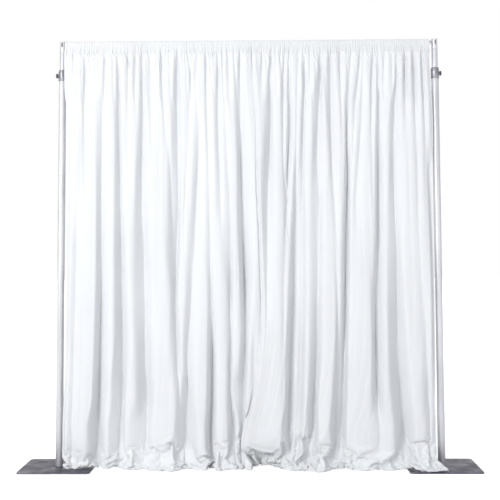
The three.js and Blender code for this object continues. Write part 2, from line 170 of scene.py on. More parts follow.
brightest = background_light + ceiling_light
ceiling = in_range(tree, parts.outputs["Z"], 0, 1, background_light, brightest, "SMOOTHSTEP")
link(tree, ceiling, lighting.inputs["Strength"])
backdrop = tree.nodes.new("ShaderNodeBackground")
backdrop.inputs["Color"].default_value = (1, 1, 1, 1)
choice = tree.nodes.new("ShaderNodeMixShader")
link(tree, seen_directly(tree), choice.inputs["Fac"])
link(tree, lighting.outputs[0], choice.inputs[1])
link(tree, backdrop.outputs[0], choice.inputs[2])
link(tree, choice.outputs[0], tree.nodes["World Output"].inputs["Surface"])


# Studio lamps
# One large softbox to the left of the camera and above it models the folds. A weak one on
# the right keeps the deep folds from going dark.
lamp_aim = (0, 0, 1.15)


def softbox(name, place, size, power):
    data = bpy.data.lights.new(name, "AREA")
    data.shape = "RECTANGLE"
    data.size = data.size_y = size
    data.energy = power
    lamp = bpy.data.objects.new(name, data)
    scene.collection.objects.link(lamp)
    aim = Vector(lamp_aim) - Vector(place)
    lamp.matrix_world = Matrix.Translation(place) @ aim.to_track_quat("-Z", "Y").to_matrix().to_4x4()


softbox("key_softbox", place=(-4.1, -6.9, 4.1), size=2.8, power=450)
softbox("fill_softbox", place=(4.6, -6.0, 1.6), size=2.6, power=45)


# Base plates
# Flat steel bases, laser cut from 6.35 mm plate with rounded corners, and dulled by use.
# Each has a countersunk hole from below for the screw that holds its pin.
plate_corner = 0.022
plate_rim = 0.0007
plate_steel = (0.088, 0.084, 0.108), (0.176, 0.170, 0.202)
worn_steel = (0.42, 0.43, 0.45)
countersink_radius, shank_room = 0.0083, 0.0043
countersink_floor, countersink_top = 0.0004, 0.0044
tool_overrun = 0.005
weld_distance = 1e-6
sharpest_kept, shaded_smooth = math.radians(40), math.radians(35)
sides = {"left": -1, "right": 1}


def choose(piece):
    """Only this piece is selected, and it is the active one."""
    bpy.ops.object.select_all(action="DESELECT")
    piece.select_set(True)
    bpy.context.view_layer.objects.active = piece


def start_picking(piece, kind):
    """Nothing on the piece is selected, and edit mode will pick edges or faces."""
    choose(piece)
    bpy.ops.object.mode_set(mode="EDIT")
    bpy.ops.mesh.select_mode(type=kind)
    bpy.ops.mesh.select_all(action="DESELECT")
    bpy.ops.object.mode_set(mode="OBJECT")


def pick_edges(piece, wanted):
    """Goes into edit mode with the edges selected whose two ends pass the test."""
    start_picking(piece, "EDGE")
    for edge in piece.data.edges:
        first, second = (piece.data.vertices[number].co for number in edge.vertices)
        edge.select = wanted(first, second)
    bpy.ops.object.mode_set(mode="EDIT")


def pick_faces(piece, wanted):
    """Goes into edit mode with the faces selected that pass the test."""
    start_picking(piece, "FACE")
    for face in piece.data.polygons:
        face.select = wanted(face)
    bpy.ops.object.mode_set(mode="EDIT")


def turned(name, centre, along, outline, steps=64):
    """Spins a closed outline of (distance along the line, radius) points round a line."""
    centre, along = Vector(centre), Vector(along)
    outward = Vector((0, 1, 0)) if along.x else Vector((1, 0, 0))
    bpy.ops.mesh.primitive_circle_add(vertices=len(outline), fill_type="NOTHING")
    piece = bpy.context.active_object
    piece.name = name
    for vertex, (distance, radius) in zip(piece.data.vertices, outline):
        vertex.co = centre + along * distance + outward * radius
    choose(piece)
    bpy.ops.object.mode_set(mode="EDIT")
    bpy.ops.mesh.select_all(action="SELECT")
    bpy.ops.mesh.spin(steps=steps, angle=2 * math.pi, center=centre, axis=along)
    bpy.ops.mesh.select_all(action="SELECT")
    bpy.ops.mesh.remove_doubles(threshold=weld_distance)
    bpy.ops.mesh.normals_make_consistent(inside=False)
    bpy.ops.object.mode_set(mode="OBJECT")
    return piece


def carve(piece, tool, operation="DIFFERENCE"):
    """Cuts the tool out of the piece, or joins it on, and throws the tool away."""
    change = piece.modifiers.new("carve", "BOOLEAN")
    change.operation = operation
    change.object = tool
    choose(piece)
    bpy.ops.object.modifier_apply(modifier=change.name)
    bpy.data.objects.remove(tool)


def break_edges(piece, width, segments=2, finish_number=-1):
    """Rounds the sharp edges a little, as deburring does, and shades the rest smooth."""
    rounding = piece.modifiers.new("broken_edges", "BEVEL")
    rounding.width = width
    rounding.segments = segments
    rounding.limit_method = "ANGLE"
    rounding.angle_limit = sharpest_kept
    rounding.material = finish_number
    choose(piece)
    bpy.ops.object.modifier_apply(modifier=rounding.name)
    bpy.ops.object.shade_smooth_by_angle(angle=shaded_smooth)


def new_finish(name, colour, roughness, metallic=0.0):
    finish = bpy.data.materials.new(name)
    finish.use_nodes = True
    shader = finish.node_tree.nodes["Principled BSDF"]
    shader.inputs["Base Color"].default_value = (*colour, 1)
    shader.inputs["Roughness"].default_value = roughness
    shader.inputs["Metallic"].default_value = metallic
    return finish


def grain(finish, per_metre, detail=3, coordinates="Object"):
    """A cloudy pattern from 0 to 1, with so many blotches a metre along X, Y and Z."""
    tree = finish.node_tree
    place = tree.nodes.new("ShaderNodeTexCoord")
    stretch = tree.nodes.new("ShaderNodeMapping")
    stretch.inputs["Scale"].default_value = per_metre
    noise = tree.nodes.new("ShaderNodeTexNoise")
    noise.inputs["Scale"].default_value = 1
    noise.inputs["Detail"].default_value = detail
    link(tree, place.outputs[coordinates], stretch.inputs["Vector"])
    link(tree, stretch.outputs["Vector"], noise.inputs["Vector"])
    return noise.outputs["Fac"]


def tint(finish, pattern, dark, light, start=0.35, end=0.65):
    """The base colour runs from dark to light as the pattern rises."""
    tree = finish.node_tree
    ramp = tree.nodes.new("ShaderNodeValToRGB")
    ramp.color_ramp.elements[0].position = start
    ramp.color_ramp.elements[1].position = end
    ramp.color_ramp.elements[0].color = (*dark, 1)
    ramp.color_ramp.elements[1].color = (*light, 1)
    link(tree, pattern, ramp.inputs["Fac"])
    link(tree, ramp.outputs["Color"], tree.nodes["Principled BSDF"].inputs["Base Color"])
    return ramp.outputs["Color"]


def spread(finish, pattern, low, high, socket="Roughness", start=0.35, end=0.65):
    """A shader value runs from low to high as the pattern rises."""
    tree = finish.node_tree
    value = in_range(tree, pattern, start, end, low, high)
    link(tree, value, tree.nodes["Principled BSDF"].inputs[socket])


def emboss(finish, pattern, height, strength=1.0):
    """Raises the pattern by so many metres, on top of what is embossed already."""
    tree = finish.node_tree
    shader = tree.nodes["Principled BSDF"]
    bump = tree.nodes.new("ShaderNodeBump")
    bump.inputs["Distance"].default_value = height
    bump.inputs["Strength"].default_value = strength
    link(tree, pattern, bump.inputs["Height"])
    if shader.inputs["Normal"].is_linked:
        link(tree, shader.inputs["Normal"].links[0].from_socket, bump.inputs["Normal"])
    link(tree, bump.outputs["Normal"], shader.inputs["Normal"])


dull_plate = new_finish("dull_plate_steel", plate_steel[0], 0.45, 0.9)
tint(dull_plate, grain(dull_plate, (22, 22, 22), 6), *plate_steel, 0.38, 0.72)
spread(dull_plate, grain(dull_plate, (9, 9, 9), 4), 0.34, 0.58)
emboss(dull_plate, grain(dull_plate, (420, 420, 420), 2), 0.00012)
worn_rim = new_finish("worn_plate_rim", worn_steel, 0.35, 1.0)
tint(worn_rim, grain(worn_rim, (60, 60, 60), 3), plate_steel[1], worn_steel)
emboss(worn_rim, grain(worn_rim, (500, 500, 500), 2), 0.0001)

for side in sides:
    low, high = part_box("base_plate_" + side)
    bpy.ops.mesh.primitive_cube_add(size=1, location=(low + high) / 2, scale=high - low)
    plate = bpy.context.active_object
    plate.name = "plate_" + side
    bpy.ops.object.transform_apply()
    pick_edges(plate, lambda first, second: abs(first.z - second.z) > tool_overrun)
    bpy.ops.mesh.bevel(offset=plate_corner, segments=8)
    bpy.ops.object.mode_set(mode="OBJECT")
    screw_room = [
        (-tool_overrun, 0),
        (-tool_overrun, countersink_radius),
        (countersink_floor, countersink_radius),
        (countersink_top, shank_room),
        (high.z + tool_overrun, shank_room),
        (high.z + tool_overrun, 0),
    ]
    axis_x = (low.x + high.x) / 2
    carve(plate, turned("screw_room", (axis_x, 0, 0), (0, 0, 1), screw_room, 32))
    plate.data.materials.append(dull_plate)
    plate.data.materials.append(worn_rim)
    break_edges(plate, plate_rim, 3, 1)
    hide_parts("base_plate_" + side)
    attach(plate, side + "_base")


# Base pins and their screws
# A hollow steel pin stands on each plate, held by a countersunk screw from below. The
# upright slips over it. Both are zinc plated.
pin_bore, pin_hole = 0.016, 0.0043
pin_floor, pin_chamfer = 0.022, 0.003
zinc_colours = (0.50, 0.505, 0.52), (0.66, 0.66, 0.665)
deburring = 0.0004
flat_angle = math.radians(1)


def plated_steel(name, colours, smooth, rough):
    """Plated steel with a cloudy lustre and a very fine grain."""
    finish = new_finish(name, colours[0], smooth, 1.0)
    tint(finish, grain(finish, (70, 70, 70), 4), *colours)
    spread(finish, grain(finish, (40, 40, 40), 3), smooth, rough)
    emboss(finish, grain(finish, (900, 900, 900), 2), 0.00004)
    return finish


zinc = plated_steel("zinc_plated_steel", zinc_colours, 0.26, 0.44)


def finished_copy(node, width, finish):
    """The node's own shape, with its edges broken and its flat faces made whole."""
    piece = bpy.data.objects.new(node + "_finished", nodes[node].data.copy())
    scene.collection.objects.link(piece)
    choose(piece)
    bpy.ops.object.mode_set(mode="EDIT")
    bpy.ops.mesh.select_all(action="SELECT")
    bpy.ops.mesh.remove_doubles(threshold=weld_distance)
    bpy.ops.mesh.dissolve_limited(angle_limit=flat_angle)
    bpy.ops.object.mode_set(mode="OBJECT")
    piece.data.materials.clear()
    piece.data.materials.append(finish)
    break_edges(piece, width)
    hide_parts(node)
    return piece


for side in sides:
    low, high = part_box("base_pin_" + side)
    centre = ((low.x + high.x) / 2, 0, 0)
    radius = (high.x - low.x) / 2
    outline = [
        (low.z, pin_hole),
        (low.z, radius),
        (high.z - pin_chamfer, radius),
        (high.z, (radius + pin_bore) / 2),
        (high.z, pin_bore),
        (low.z + pin_floor, pin_bore),
        (low.z + pin_floor, pin_hole),
    ]
    pin = turned("pin_" + side, centre, (0, 0, 1), outline)
    pin.data.materials.append(zinc)
    break_edges(pin, deburring)
    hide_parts("base_pin_" + side)
    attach(pin, side + "_base")
    screw = finished_copy("pin_screw_" + side, deburring / 2, zinc)
    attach(screw, side + "_base")


# Lower uprights
# Drawn aluminium tube, 42 mm across with a 1.5 mm wall, satin anodised. It slips over the
# base pin, and a hole near the top lets the lock screw reach the mast inside.
tube_wall = 0.0015
aluminium_colours, aluminium_lustre = ((0.50, 0.50, 0.53), (0.62, 0.62, 0.645)), 0.42
lock_hole = 0.0043
line_length, lines_across = 5, 800
lock_height = sum(corner.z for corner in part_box("lock_stem_right")) / 2


def tube_finish(name, along):
    """Satin aluminium with draw lines along the tube, soft handling marks and a few scuffs."""
    finish = new_finish(name, aluminium_colours[0], 0.45, aluminium_lustre)
    lines = [line_length if axis == along else lines_across for axis in "XYZ"]
    marks = [4 if axis == along else 30 for axis in "XYZ"]
    tint(finish, grain(finish, marks, 5), *aluminium_colours, 0.3, 0.6)
    spread(finish, grain(finish, marks, 3), 0.38, 0.52)
    emboss(finish, grain(finish, lines, 2), 0.00002)
    return finish


upright_tube = tube_finish("satin_aluminium_upright", "Z")
upright_axis_x = {
    side: sum(corner.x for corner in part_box("lower_upright_" + side)) / 2 for side in sides
}


def drawn_tube(name, node, finish, axis):
    """The node's tube, turned round its own axis, which runs along X (0) or Z (2)."""
    low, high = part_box(node)
    across = 2 - axis
    radius = (high[across] - low[across]) / 2
    bore = radius - tube_wall
    centre, along = Vector(), Vector()
    centre[across] = (low[across] + high[across]) / 2
    along[axis] = 1
    ends = low[axis], high[axis]
    outline = [(ends[0], bore), (ends[0], radius), (ends[1], radius), (ends[1], bore)]
    tube = turned(name, centre, along, outline)
    tube.data.materials.append(finish)
    return tube


def drill_lock_hole(piece, side, reach):
    """Drills the lock screw's hole from the upright's axis outward."""
    drill = [(0, 0), (0, lock_hole), (reach, lock_hole), (reach, 0)]
    axis_foot = (upright_axis_x[side], 0, lock_height)
    carve(piece, turned("drill", axis_foot, (sides[side], 0, 0), drill, 24))


for side in sides:
    low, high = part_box("lower_upright_" + side)
    upright = drawn_tube("lower_tube_" + side, "lower_upright_" + side, upright_tube, 2)
    drill_lock_hole(upright, side, (high - low).x)
    break_edges(upright, deburring)
    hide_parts("lower_upright_" + side)
    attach(upright, side + "_upright")


# Guide bushes
# A moulded nylon bush in the mouth of each lower tube steadies the mast. Only its flange
# shows, as a dark ring.
bush_colours = (0.022, 0.021, 0.026), (0.045, 0.044, 0.052)
bush_bore, bush_sleeve = 0.0178, 0.0192
bush_flange = 0.003
lead_in = 0.0008

nylon = new_finish("dark_nylon_and_painted_shade", bush_colours[0], 0.5)
tint(nylon, grain(nylon, (120, 120, 120), 3), *bush_colours)
spread(nylon, grain(nylon, (300, 300, 300), 2), 0.42, 0.58)
emboss(nylon, grain(nylon, (2500, 2500, 2500), 2), 0.00003)

for side in sides:
    low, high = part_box("guide_bush_" + side)
    flange = (high.x - low.x) / 2
    outline = [
        (low.z, bush_bore),
        (low.z, bush_sleeve),
        (high.z - bush_flange, bush_sleeve),
        (high.z - bush_flange, flange),
        (high.z, flange),
        (high.z, bush_bore + lead_in),
        (high.z - lead_in, bush_bore),
    ]
    bush = turned("bush_" + side, (upright_axis_x[side], 0, 0), (0, 0, 1), outline)
    drill_lock_hole(bush, side, flange * 2)
    bush.data.materials.append(nylon)
    break_edges(bush, deburring)
    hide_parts("guide_bush_" + side)
    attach(bush, side + "_upright")


# Lock collars
# A zinc-plated steel band round the top of each lower tube. A boss is welded on its outer
# side and takes the thumb screw.
collar_gap, collar_wall = 0.0003, 0.0022
boss_radius = 0.009
weld_radius = 0.0012
collar_rim = 0.0006
collar_colours = (0.20, 0.205, 0.225), (0.30, 0.305, 0.33)
collar_steel = plated_steel("dark_collar_steel", collar_colours, 0.38, 0.52)

for side, sign in sides.items():
    low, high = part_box("lock_collar_" + side)
    axis_x = upright_axis_x[side]
    tube_low, tube_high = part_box("lower_upright_" + side)
    inner = (tube_high - tube_low).x / 2 + collar_gap
    outer = inner + collar_wall
    reach = max(abs(low.x - axis_x), abs(high.x - axis_x))
    band = [(low.z, inner), (low.z, outer), (high.z, outer), (high.z, inner)]
    collar = turned("collar_" + side, (axis_x, 0, 0), (0, 0, 1), band)
    lock_axis = Vector((axis_x, 0, lock_height))
    boss_outline = [
        (inner + collar_gap, 0),
        (inner + collar_gap, boss_radius + weld_radius),
        (outer + weld_radius / 2, boss_radius + weld_radius),
        (outer + weld_radius * 2, boss_radius),
        (reach, boss_radius),
        (reach, 0),
    ]
    carve(collar, turned("boss", lock_axis, (sign, 0, 0), boss_outline, 48), "UNION")
    bore_ends = low.z - 1, high.z + 1
    bore = [(bore_ends[0], 0), (bore_ends[0], inner), (bore_ends[1], inner), (bore_ends[1], 0)]
    carve(collar, turned("bore", (axis_x, 0, 0), (0, 0, 1), bore))
    drill_lock_hole(collar, side, reach * 2)
    collar.data.materials.append(collar_steel)
    break_edges(collar, collar_rim)
    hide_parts("lock_collar_" + side)
    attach(collar, side + "_upright")


# Lock screws
# A thumb screw in each collar presses on the mast. Its steel stem is moulded into a black
# plastic knob with eight finger scallops and a sunk cap.
scallop_depth, scallop_count = 0.0016, 8
knob_points = 96
knob_rim = 0.0014
cap_inset, cap_sink = 0.0032, 0.0009
knob_colours = (0.045, 0.045, 0.050), (0.080, 0.080, 0.087)

moulded_black = new_finish("moulded_black_plastic", knob_colours[0], 0.42)
tint(moulded_black, grain(moulded_black, (200, 200, 200), 3), *knob_colours)
spread(moulded_black, grain(moulded_black, (150, 150, 150), 3), 0.36, 0.52)
emboss(moulded_black, grain(moulded_black, (3000, 3000, 3000), 2), 0.00004)

for side, sign in sides.items():
    low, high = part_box("lock_knob_" + side)
    inner_x, outer_x = (low.x, high.x) if sign > 0 else (high.x, low.x)
    knob_radius = (high.y - low.y) / 2
    bpy.ops.mesh.primitive_circle_add(vertices=knob_points, fill_type="NGON")
    knob = bpy.context.active_object
    knob.name = "knob_" + side
    for number, vertex in enumerate(knob.data.vertices):
        angle = 2 * math.pi * number / knob_points
        radius = knob_radius - scallop_depth / 2 * (1 - math.cos(scallop_count * angle))
        vertex.co = (inner_x, radius * math.cos(angle), lock_height + radius * math.sin(angle))
    choose(knob)
    bpy.ops.object.mode_set(mode="EDIT")
    bpy.ops.mesh.select_mode(type="FACE")
    bpy.ops.mesh.select_all(action="SELECT")
    travel = outer_x - inner_x
    bpy.ops.mesh.extrude_region_move(TRANSFORM_OT_translate={"value": (travel, 0, 0)})
    bpy.ops.mesh.select_all(action="SELECT")
    bpy.ops.mesh.normals_make_consistent(inside=False)
    bpy.ops.object.mode_set(mode="OBJECT")
    pick_edges(
        knob,
        lambda first, second: abs(first.x - outer_x) + abs(second.x - outer_x) < deburring,
    )
    bpy.ops.mesh.bevel(offset=knob_rim, segments=4)
    bpy.ops.object.mode_set(mode="OBJECT")
    pick_faces(
        knob,
        lambda face: abs(face.center.x - outer_x) < deburring / 2 and len(face.vertices) > 4,
    )
    bpy.ops.mesh.inset(thickness=cap_inset)
    bpy.ops.mesh.inset(thickness=cap_sink / 2, depth=-cap_sink)
    bpy.ops.object.mode_set(mode="OBJECT")
    knob.data.materials.append(moulded_black)
    break_edges(knob, deburring / 2)
    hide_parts("lock_knob_" + side)
    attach(knob, side + "_lock")
    stem = finished_copy("lock_stem_" + side, deburring / 2, zinc)
    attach(stem, side + "_lock")


# Masts and their glides
# The inner aluminium tube of each upright, 35 mm across. A nylon glide plugs its foot and
# keeps it centred in the lower tube.
for side in sides:
    mast = drawn_tube("mast_tube_" + side, "upper_upright_" + side, upright_tube, 2)
    break_edges(mast, deburring)
    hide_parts("upper_upright_" + side)
    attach(mast, side + "_mast")
    glide = finished_copy("mast_glide_" + side, deburring, nylon)
    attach(glide, side + "_mast")


# Crowns
# A turned aluminium ring on a spigot pressed into each mast. Four open slots, milled with
# round bottoms, take the hooks of crossbars from four sides.
crown_bore, crown_spigot = 0.0135, 0.0157
crown_ring, slot_width, slot_depth = 0.060, 0.009, 0.034
slot_corner = 0.002

for side in sides:
    low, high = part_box("crown_" + side)
    centre = Vector(((low.x + high.x) / 2, 0, 0))
    radius = (high.x - low.x) / 2
    shoulder = high.z - crown_ring
    outline = [
        (low.z, crown_bore),
        (low.z, crown_spigot),
        (shoulder, crown_spigot),
        (shoulder, radius),
        (high.z, radius),
        (high.z, crown_bore),
    ]
    crown = turned("crown_ring_" + side, centre, (0, 0, 1), outline)
    for across in (Vector((radius * 3, slot_width, 0)), Vector((slot_width, radius * 3, 0))):
        size = across + Vector((0, 0, slot_depth * 2))
        middle = centre + Vector((0, 0, high.z))
        bpy.ops.mesh.primitive_cube_add(size=1, location=middle, scale=size)
        cutter = bpy.context.active_object
        bpy.ops.object.transform_apply()
        slot_floor = high.z - slot_depth
        crosswise = 0 if across.x > across.y else 1
        pick_edges(
            cutter,
            lambda first, second: max(first.z, second.z) < slot_floor + tool_overrun
            and abs(first[crosswise] - second[crosswise]) > slot_width * 2,
        )
        bpy.ops.mesh.bevel(offset=slot_corner, segments=4)
        bpy.ops.object.mode_set(mode="OBJECT")
        carve(crown, cutter)
    crown.data.materials.append(upright_tube)
    crown.data.materials.append(nylon)
    break_edges(crown, deburring)
    # The faces round the bore take the second finish, dark nylon, as painted shade: the inside of the
    # aluminium ring shows dark through the slots.
    for face in crown.data.polygons:
        from_axis = math.hypot(face.center.x - centre.x, face.center.y)
        face.material_index = int(from_axis < crown_bore + deburring)
    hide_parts("crown_" + side)
    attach(crown, side + "_mast")


# Crossbar
# Two satin aluminium tubes, one inside the other, so that the bar can be set to the width
# of the bay. A nylon bush guides the inner tube in the mouth of the outer one.
bar_bush_bore, bar_bush_sleeve, bar_bush_flange = 0.0146, 0.0157, 0.003
bar_height = sum(corner.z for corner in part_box("crossbar_outer_tube")) / 2
bar_tube = tube_finish("satin_aluminium_bar", "X")

for part, body in (("outer", "crossbar"), ("inner", "crossbar_extension")):
    node = "crossbar_" + part + "_tube"
    bar = drawn_tube(node + "_drawn", node, bar_tube, 0)
    break_edges(bar, deburring)
    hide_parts(node)
    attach(bar, body)

low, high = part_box("crossbar_bush")
outline = [
    (low.x, bar_bush_bore),
    (low.x, bar_bush_sleeve),
    (high.x - bar_bush_flange, bar_bush_sleeve),
    (high.x - bar_bush_flange, (high.z - low.z) / 2),
    (high.x, (high.z - low.z) / 2),
    (high.x, bar_bush_bore),
]
bar_bush = turned("bar_bush", (0, 0, bar_height), (1, 0, 0), outline)
bar_bush.data.materials.append(nylon)
break_edges(bar_bush, deburring)
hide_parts("crossbar_bush")
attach(bar_bush, "crossbar")

bar_glide = finished_copy("crossbar_glide", deburring, nylon)
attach(bar_glide, "crossbar_extension")


# Hooks and rivets
# Each end of the crossbar has a zinc-plated steel plug with a flat tongue that drops over
# the crown's wall in one of its slots. A rivet pins it in the tube.
hook_edge = 0.0006

for side, body in (("left", "crossbar"), ("right", "crossbar_extension")):
    hook = finished_copy("crossbar_hook_" + side, hook_edge, zinc)
    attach(hook, body)
    rivet = finished_copy("hook_rivet_" + side, deburring, zinc)
    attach(rivet, body)


# Drapes
# Two panels of white matt polyester, each 1.52 m wide, gathered on the crossbar. They hang
# in deep folds, and the spare length lies crumpled on the floor and on the base plates.
panel_width = 1.524
stitch_height = 2.366
spare_length = 0.15
hang_depth = 0.018
bay_width, bay_height = 2.160, 2.438
bay_pixels_top, bay_pixels_foot = 371.2, 381.8
middle_pixel_top, middle_pixel_foot = 248.7, 251.0
foot_row, pixels_per_metre = 466.5, 174.5

# The side edges of each panel in the photograph, left and right, each as rows and places.
# These and the valleys below were typed from a list, found by a program, of the dark minima
# of the photograph's brightness along twelve rows, with their widths and brightness. The
# places were rounded, mostly to half a pixel, and the depths were set from the brightness in
# steps. They were not read by eye.
left_edges = (
    ((55, 64.2), (95, 64.2), (115, 67.5), (200, 67.5), (300, 66), (350, 65.5), (430, 62.5)),
    ((55, 255), (80, 258), (130, 264), (200, 266), (300, 267), (430, 264)),
)
right_edges = (
    ((55, 252.5), (80, 253.5), (130, 257), (180, 256.5), (250, 259.5), (300, 261.5), (345, 261),
     (400, 252), (430, 245), (460, 240)),
    ((55, 430), (75, 430.5), (130, 434), (180, 432.5), (230, 433.5), (280, 435), (430, 437)),
)

# The folds, by the valleys between them. Each valley is given at the rows of the photograph
# where it bends: the row, its place, its reach to the left and to the right, and its depth.
left_valleys = (
    ((55, 73, 3, 3, .35), (90, 71, 3, 3, 0)),
    ((55, 84, 2, 3, .5), (80, 84, 2, 3, .6), (130, 83, 3, 4, .5), (165, 84, 6, 4, .3),
     (220, 83, 6, 5, 0)),
    ((180, 77, 4, 4, 0), (250, 76, 4, 4, .4), (300, 75, 6, 3, .4), (430, 71, 5, 4, .4)),
    ((55, 105, 2, 3, .5), (80, 104, 3, 3, .4), (130, 101.5, 6, 4, .5), (200, 99.5, 3, 9, .5),
     (300, 99, 3, 8, .75), (400, 95.5, 3, 11, .95), (430, 95, 6, 8, 1)),
    ((55, 117, 2, 3, .45), (80, 118, 3, 3, .7), (130, 118, 3, 3, .8), (200, 119, 4, 3, .75),
     (250, 119, 4, 6, .8), (350, 119.5, 4, 9, .85), (400, 121, 11, 3, .85), (430, 120, 13, 4, .7)),
    ((55, 127.5, 2, 3, .7), (85, 127.5, 3, 3, .3), (130, 127, 5, 2, .35), (230, 127, 3, 3, 0)),
    ((55, 135, 2, 3, .55), (80, 134.5, 3, 2, .5), (150, 134, 3, 3, 0)),
    ((55, 141, 3, 3, .5), (100, 142, 3, 3, .65), (130, 141, 3, 4, .8), (200, 140, 5, 8, .65),
     (300, 144, 11, 7, .7), (350, 143.5, 7, 8, .8), (400, 145, 7, 8, .8), (430, 146, 14, 5, .5)),
    ((55, 150, 3, 3, .4), (100, 150, 4, 5, .3), (180, 151, 4, 5, 0)),
    ((55, 161, 2, 3, .7), (80, 161.5, 3, 2, .5), (130, 164.5, 5, 4, .2), (165, 170, 3, 3, .35),
     (210, 171, 3, 3, .4), (250, 172, 3, 3, .2)),
    ((55, 177, 3, 3, .7), (80, 176, 3, 4, .75), (160, 177, 6, 6, .6), (200, 177.5, 8, 3, .65),
     (250, 176, 9, 3, .9), (300, 174, 3, 3, 1), (350, 176.5, 5, 4, .8), (400, 179, 4, 4, .4),
     (430, 180, 4, 4, .1)),
    ((55, 187.5, 2, 3, .3), (80, 191, 2, 2, .55), (130, 188.5, 3, 2, .4), (250, 182.5, 3, 2, .35),
     (310, 180, 3, 3, 0)),
    ((55, 197.5, 2, 3, .45), (80, 196.5, 4, 2, .35), (120, 195, 3, 3, 0)),
    ((90, 201.5, 2, 2, 0), (130, 200.5, 6, 2, .4), (160, 198, 3, 9, .4), (250, 194, 5, 6, .5),
     (350, 187.5, 5, 8, .55), (400, 186, 7, 7, .85), (430, 184, 7, 12, 1)),
    ((55, 205.5, 2, 3, .65), (100, 206, 2, 4, .45), (200, 209, 3, 3, .35), (300, 211, 3, 2, .75),
     (350, 212, 4, 3, 1.1), (400, 211.5, 4, 4, 1.1), (430, 210, 4, 5, 1.1)),
    ((55, 209, 2, 2, .55), (80, 210.5, 2, 3, .4), (105, 212, 3, 3, 0)),
    ((55, 217, 2, 3, .4), (80, 217.5, 2, 3, .7), (130, 218, 4, 4, .5), (200, 220, 3, 3, .5),
     (240, 222, 3, 3, 0)),
    ((55, 221.5, 2, 3, .5), (100, 224, 2, 2, .3), (160, 227, 4, 3, .4), (200, 229.5, 4, 2, .4),
     (250, 230.5, 9, 2, .55), (300, 230.5, 3, 2, .95), (400, 230, 3, 2, .9), (430, 232.5, 4, 5, .9)),
    ((55, 228, 3, 2, .45), (80, 229, 3, 2, .35), (120, 229.5, 3, 3, 0)),
    ((55, 233, 2, 2, .45), (80, 235, 2, 2, .4), (100, 236, 2, 2, 0)),
    ((55, 239.5, 2, 3, .65), (80, 239, 3, 6, .6), (100, 240, 6, 5, .7), (160, 239.5, 2, 10, .75),
     (200, 240.5, 3, 11, .8), (250, 242, 3, 11, .9), (300, 244, 3, 6, 1), (350, 245, 3, 3, .95),
     (400, 243.5, 12, 2, .65), (430, 243, 8, 3, .8)),
    ((320, 256, 3, 6, 0), (350, 253.5, 4, 10, .35), (430, 254, 6, 4, .3)),
)
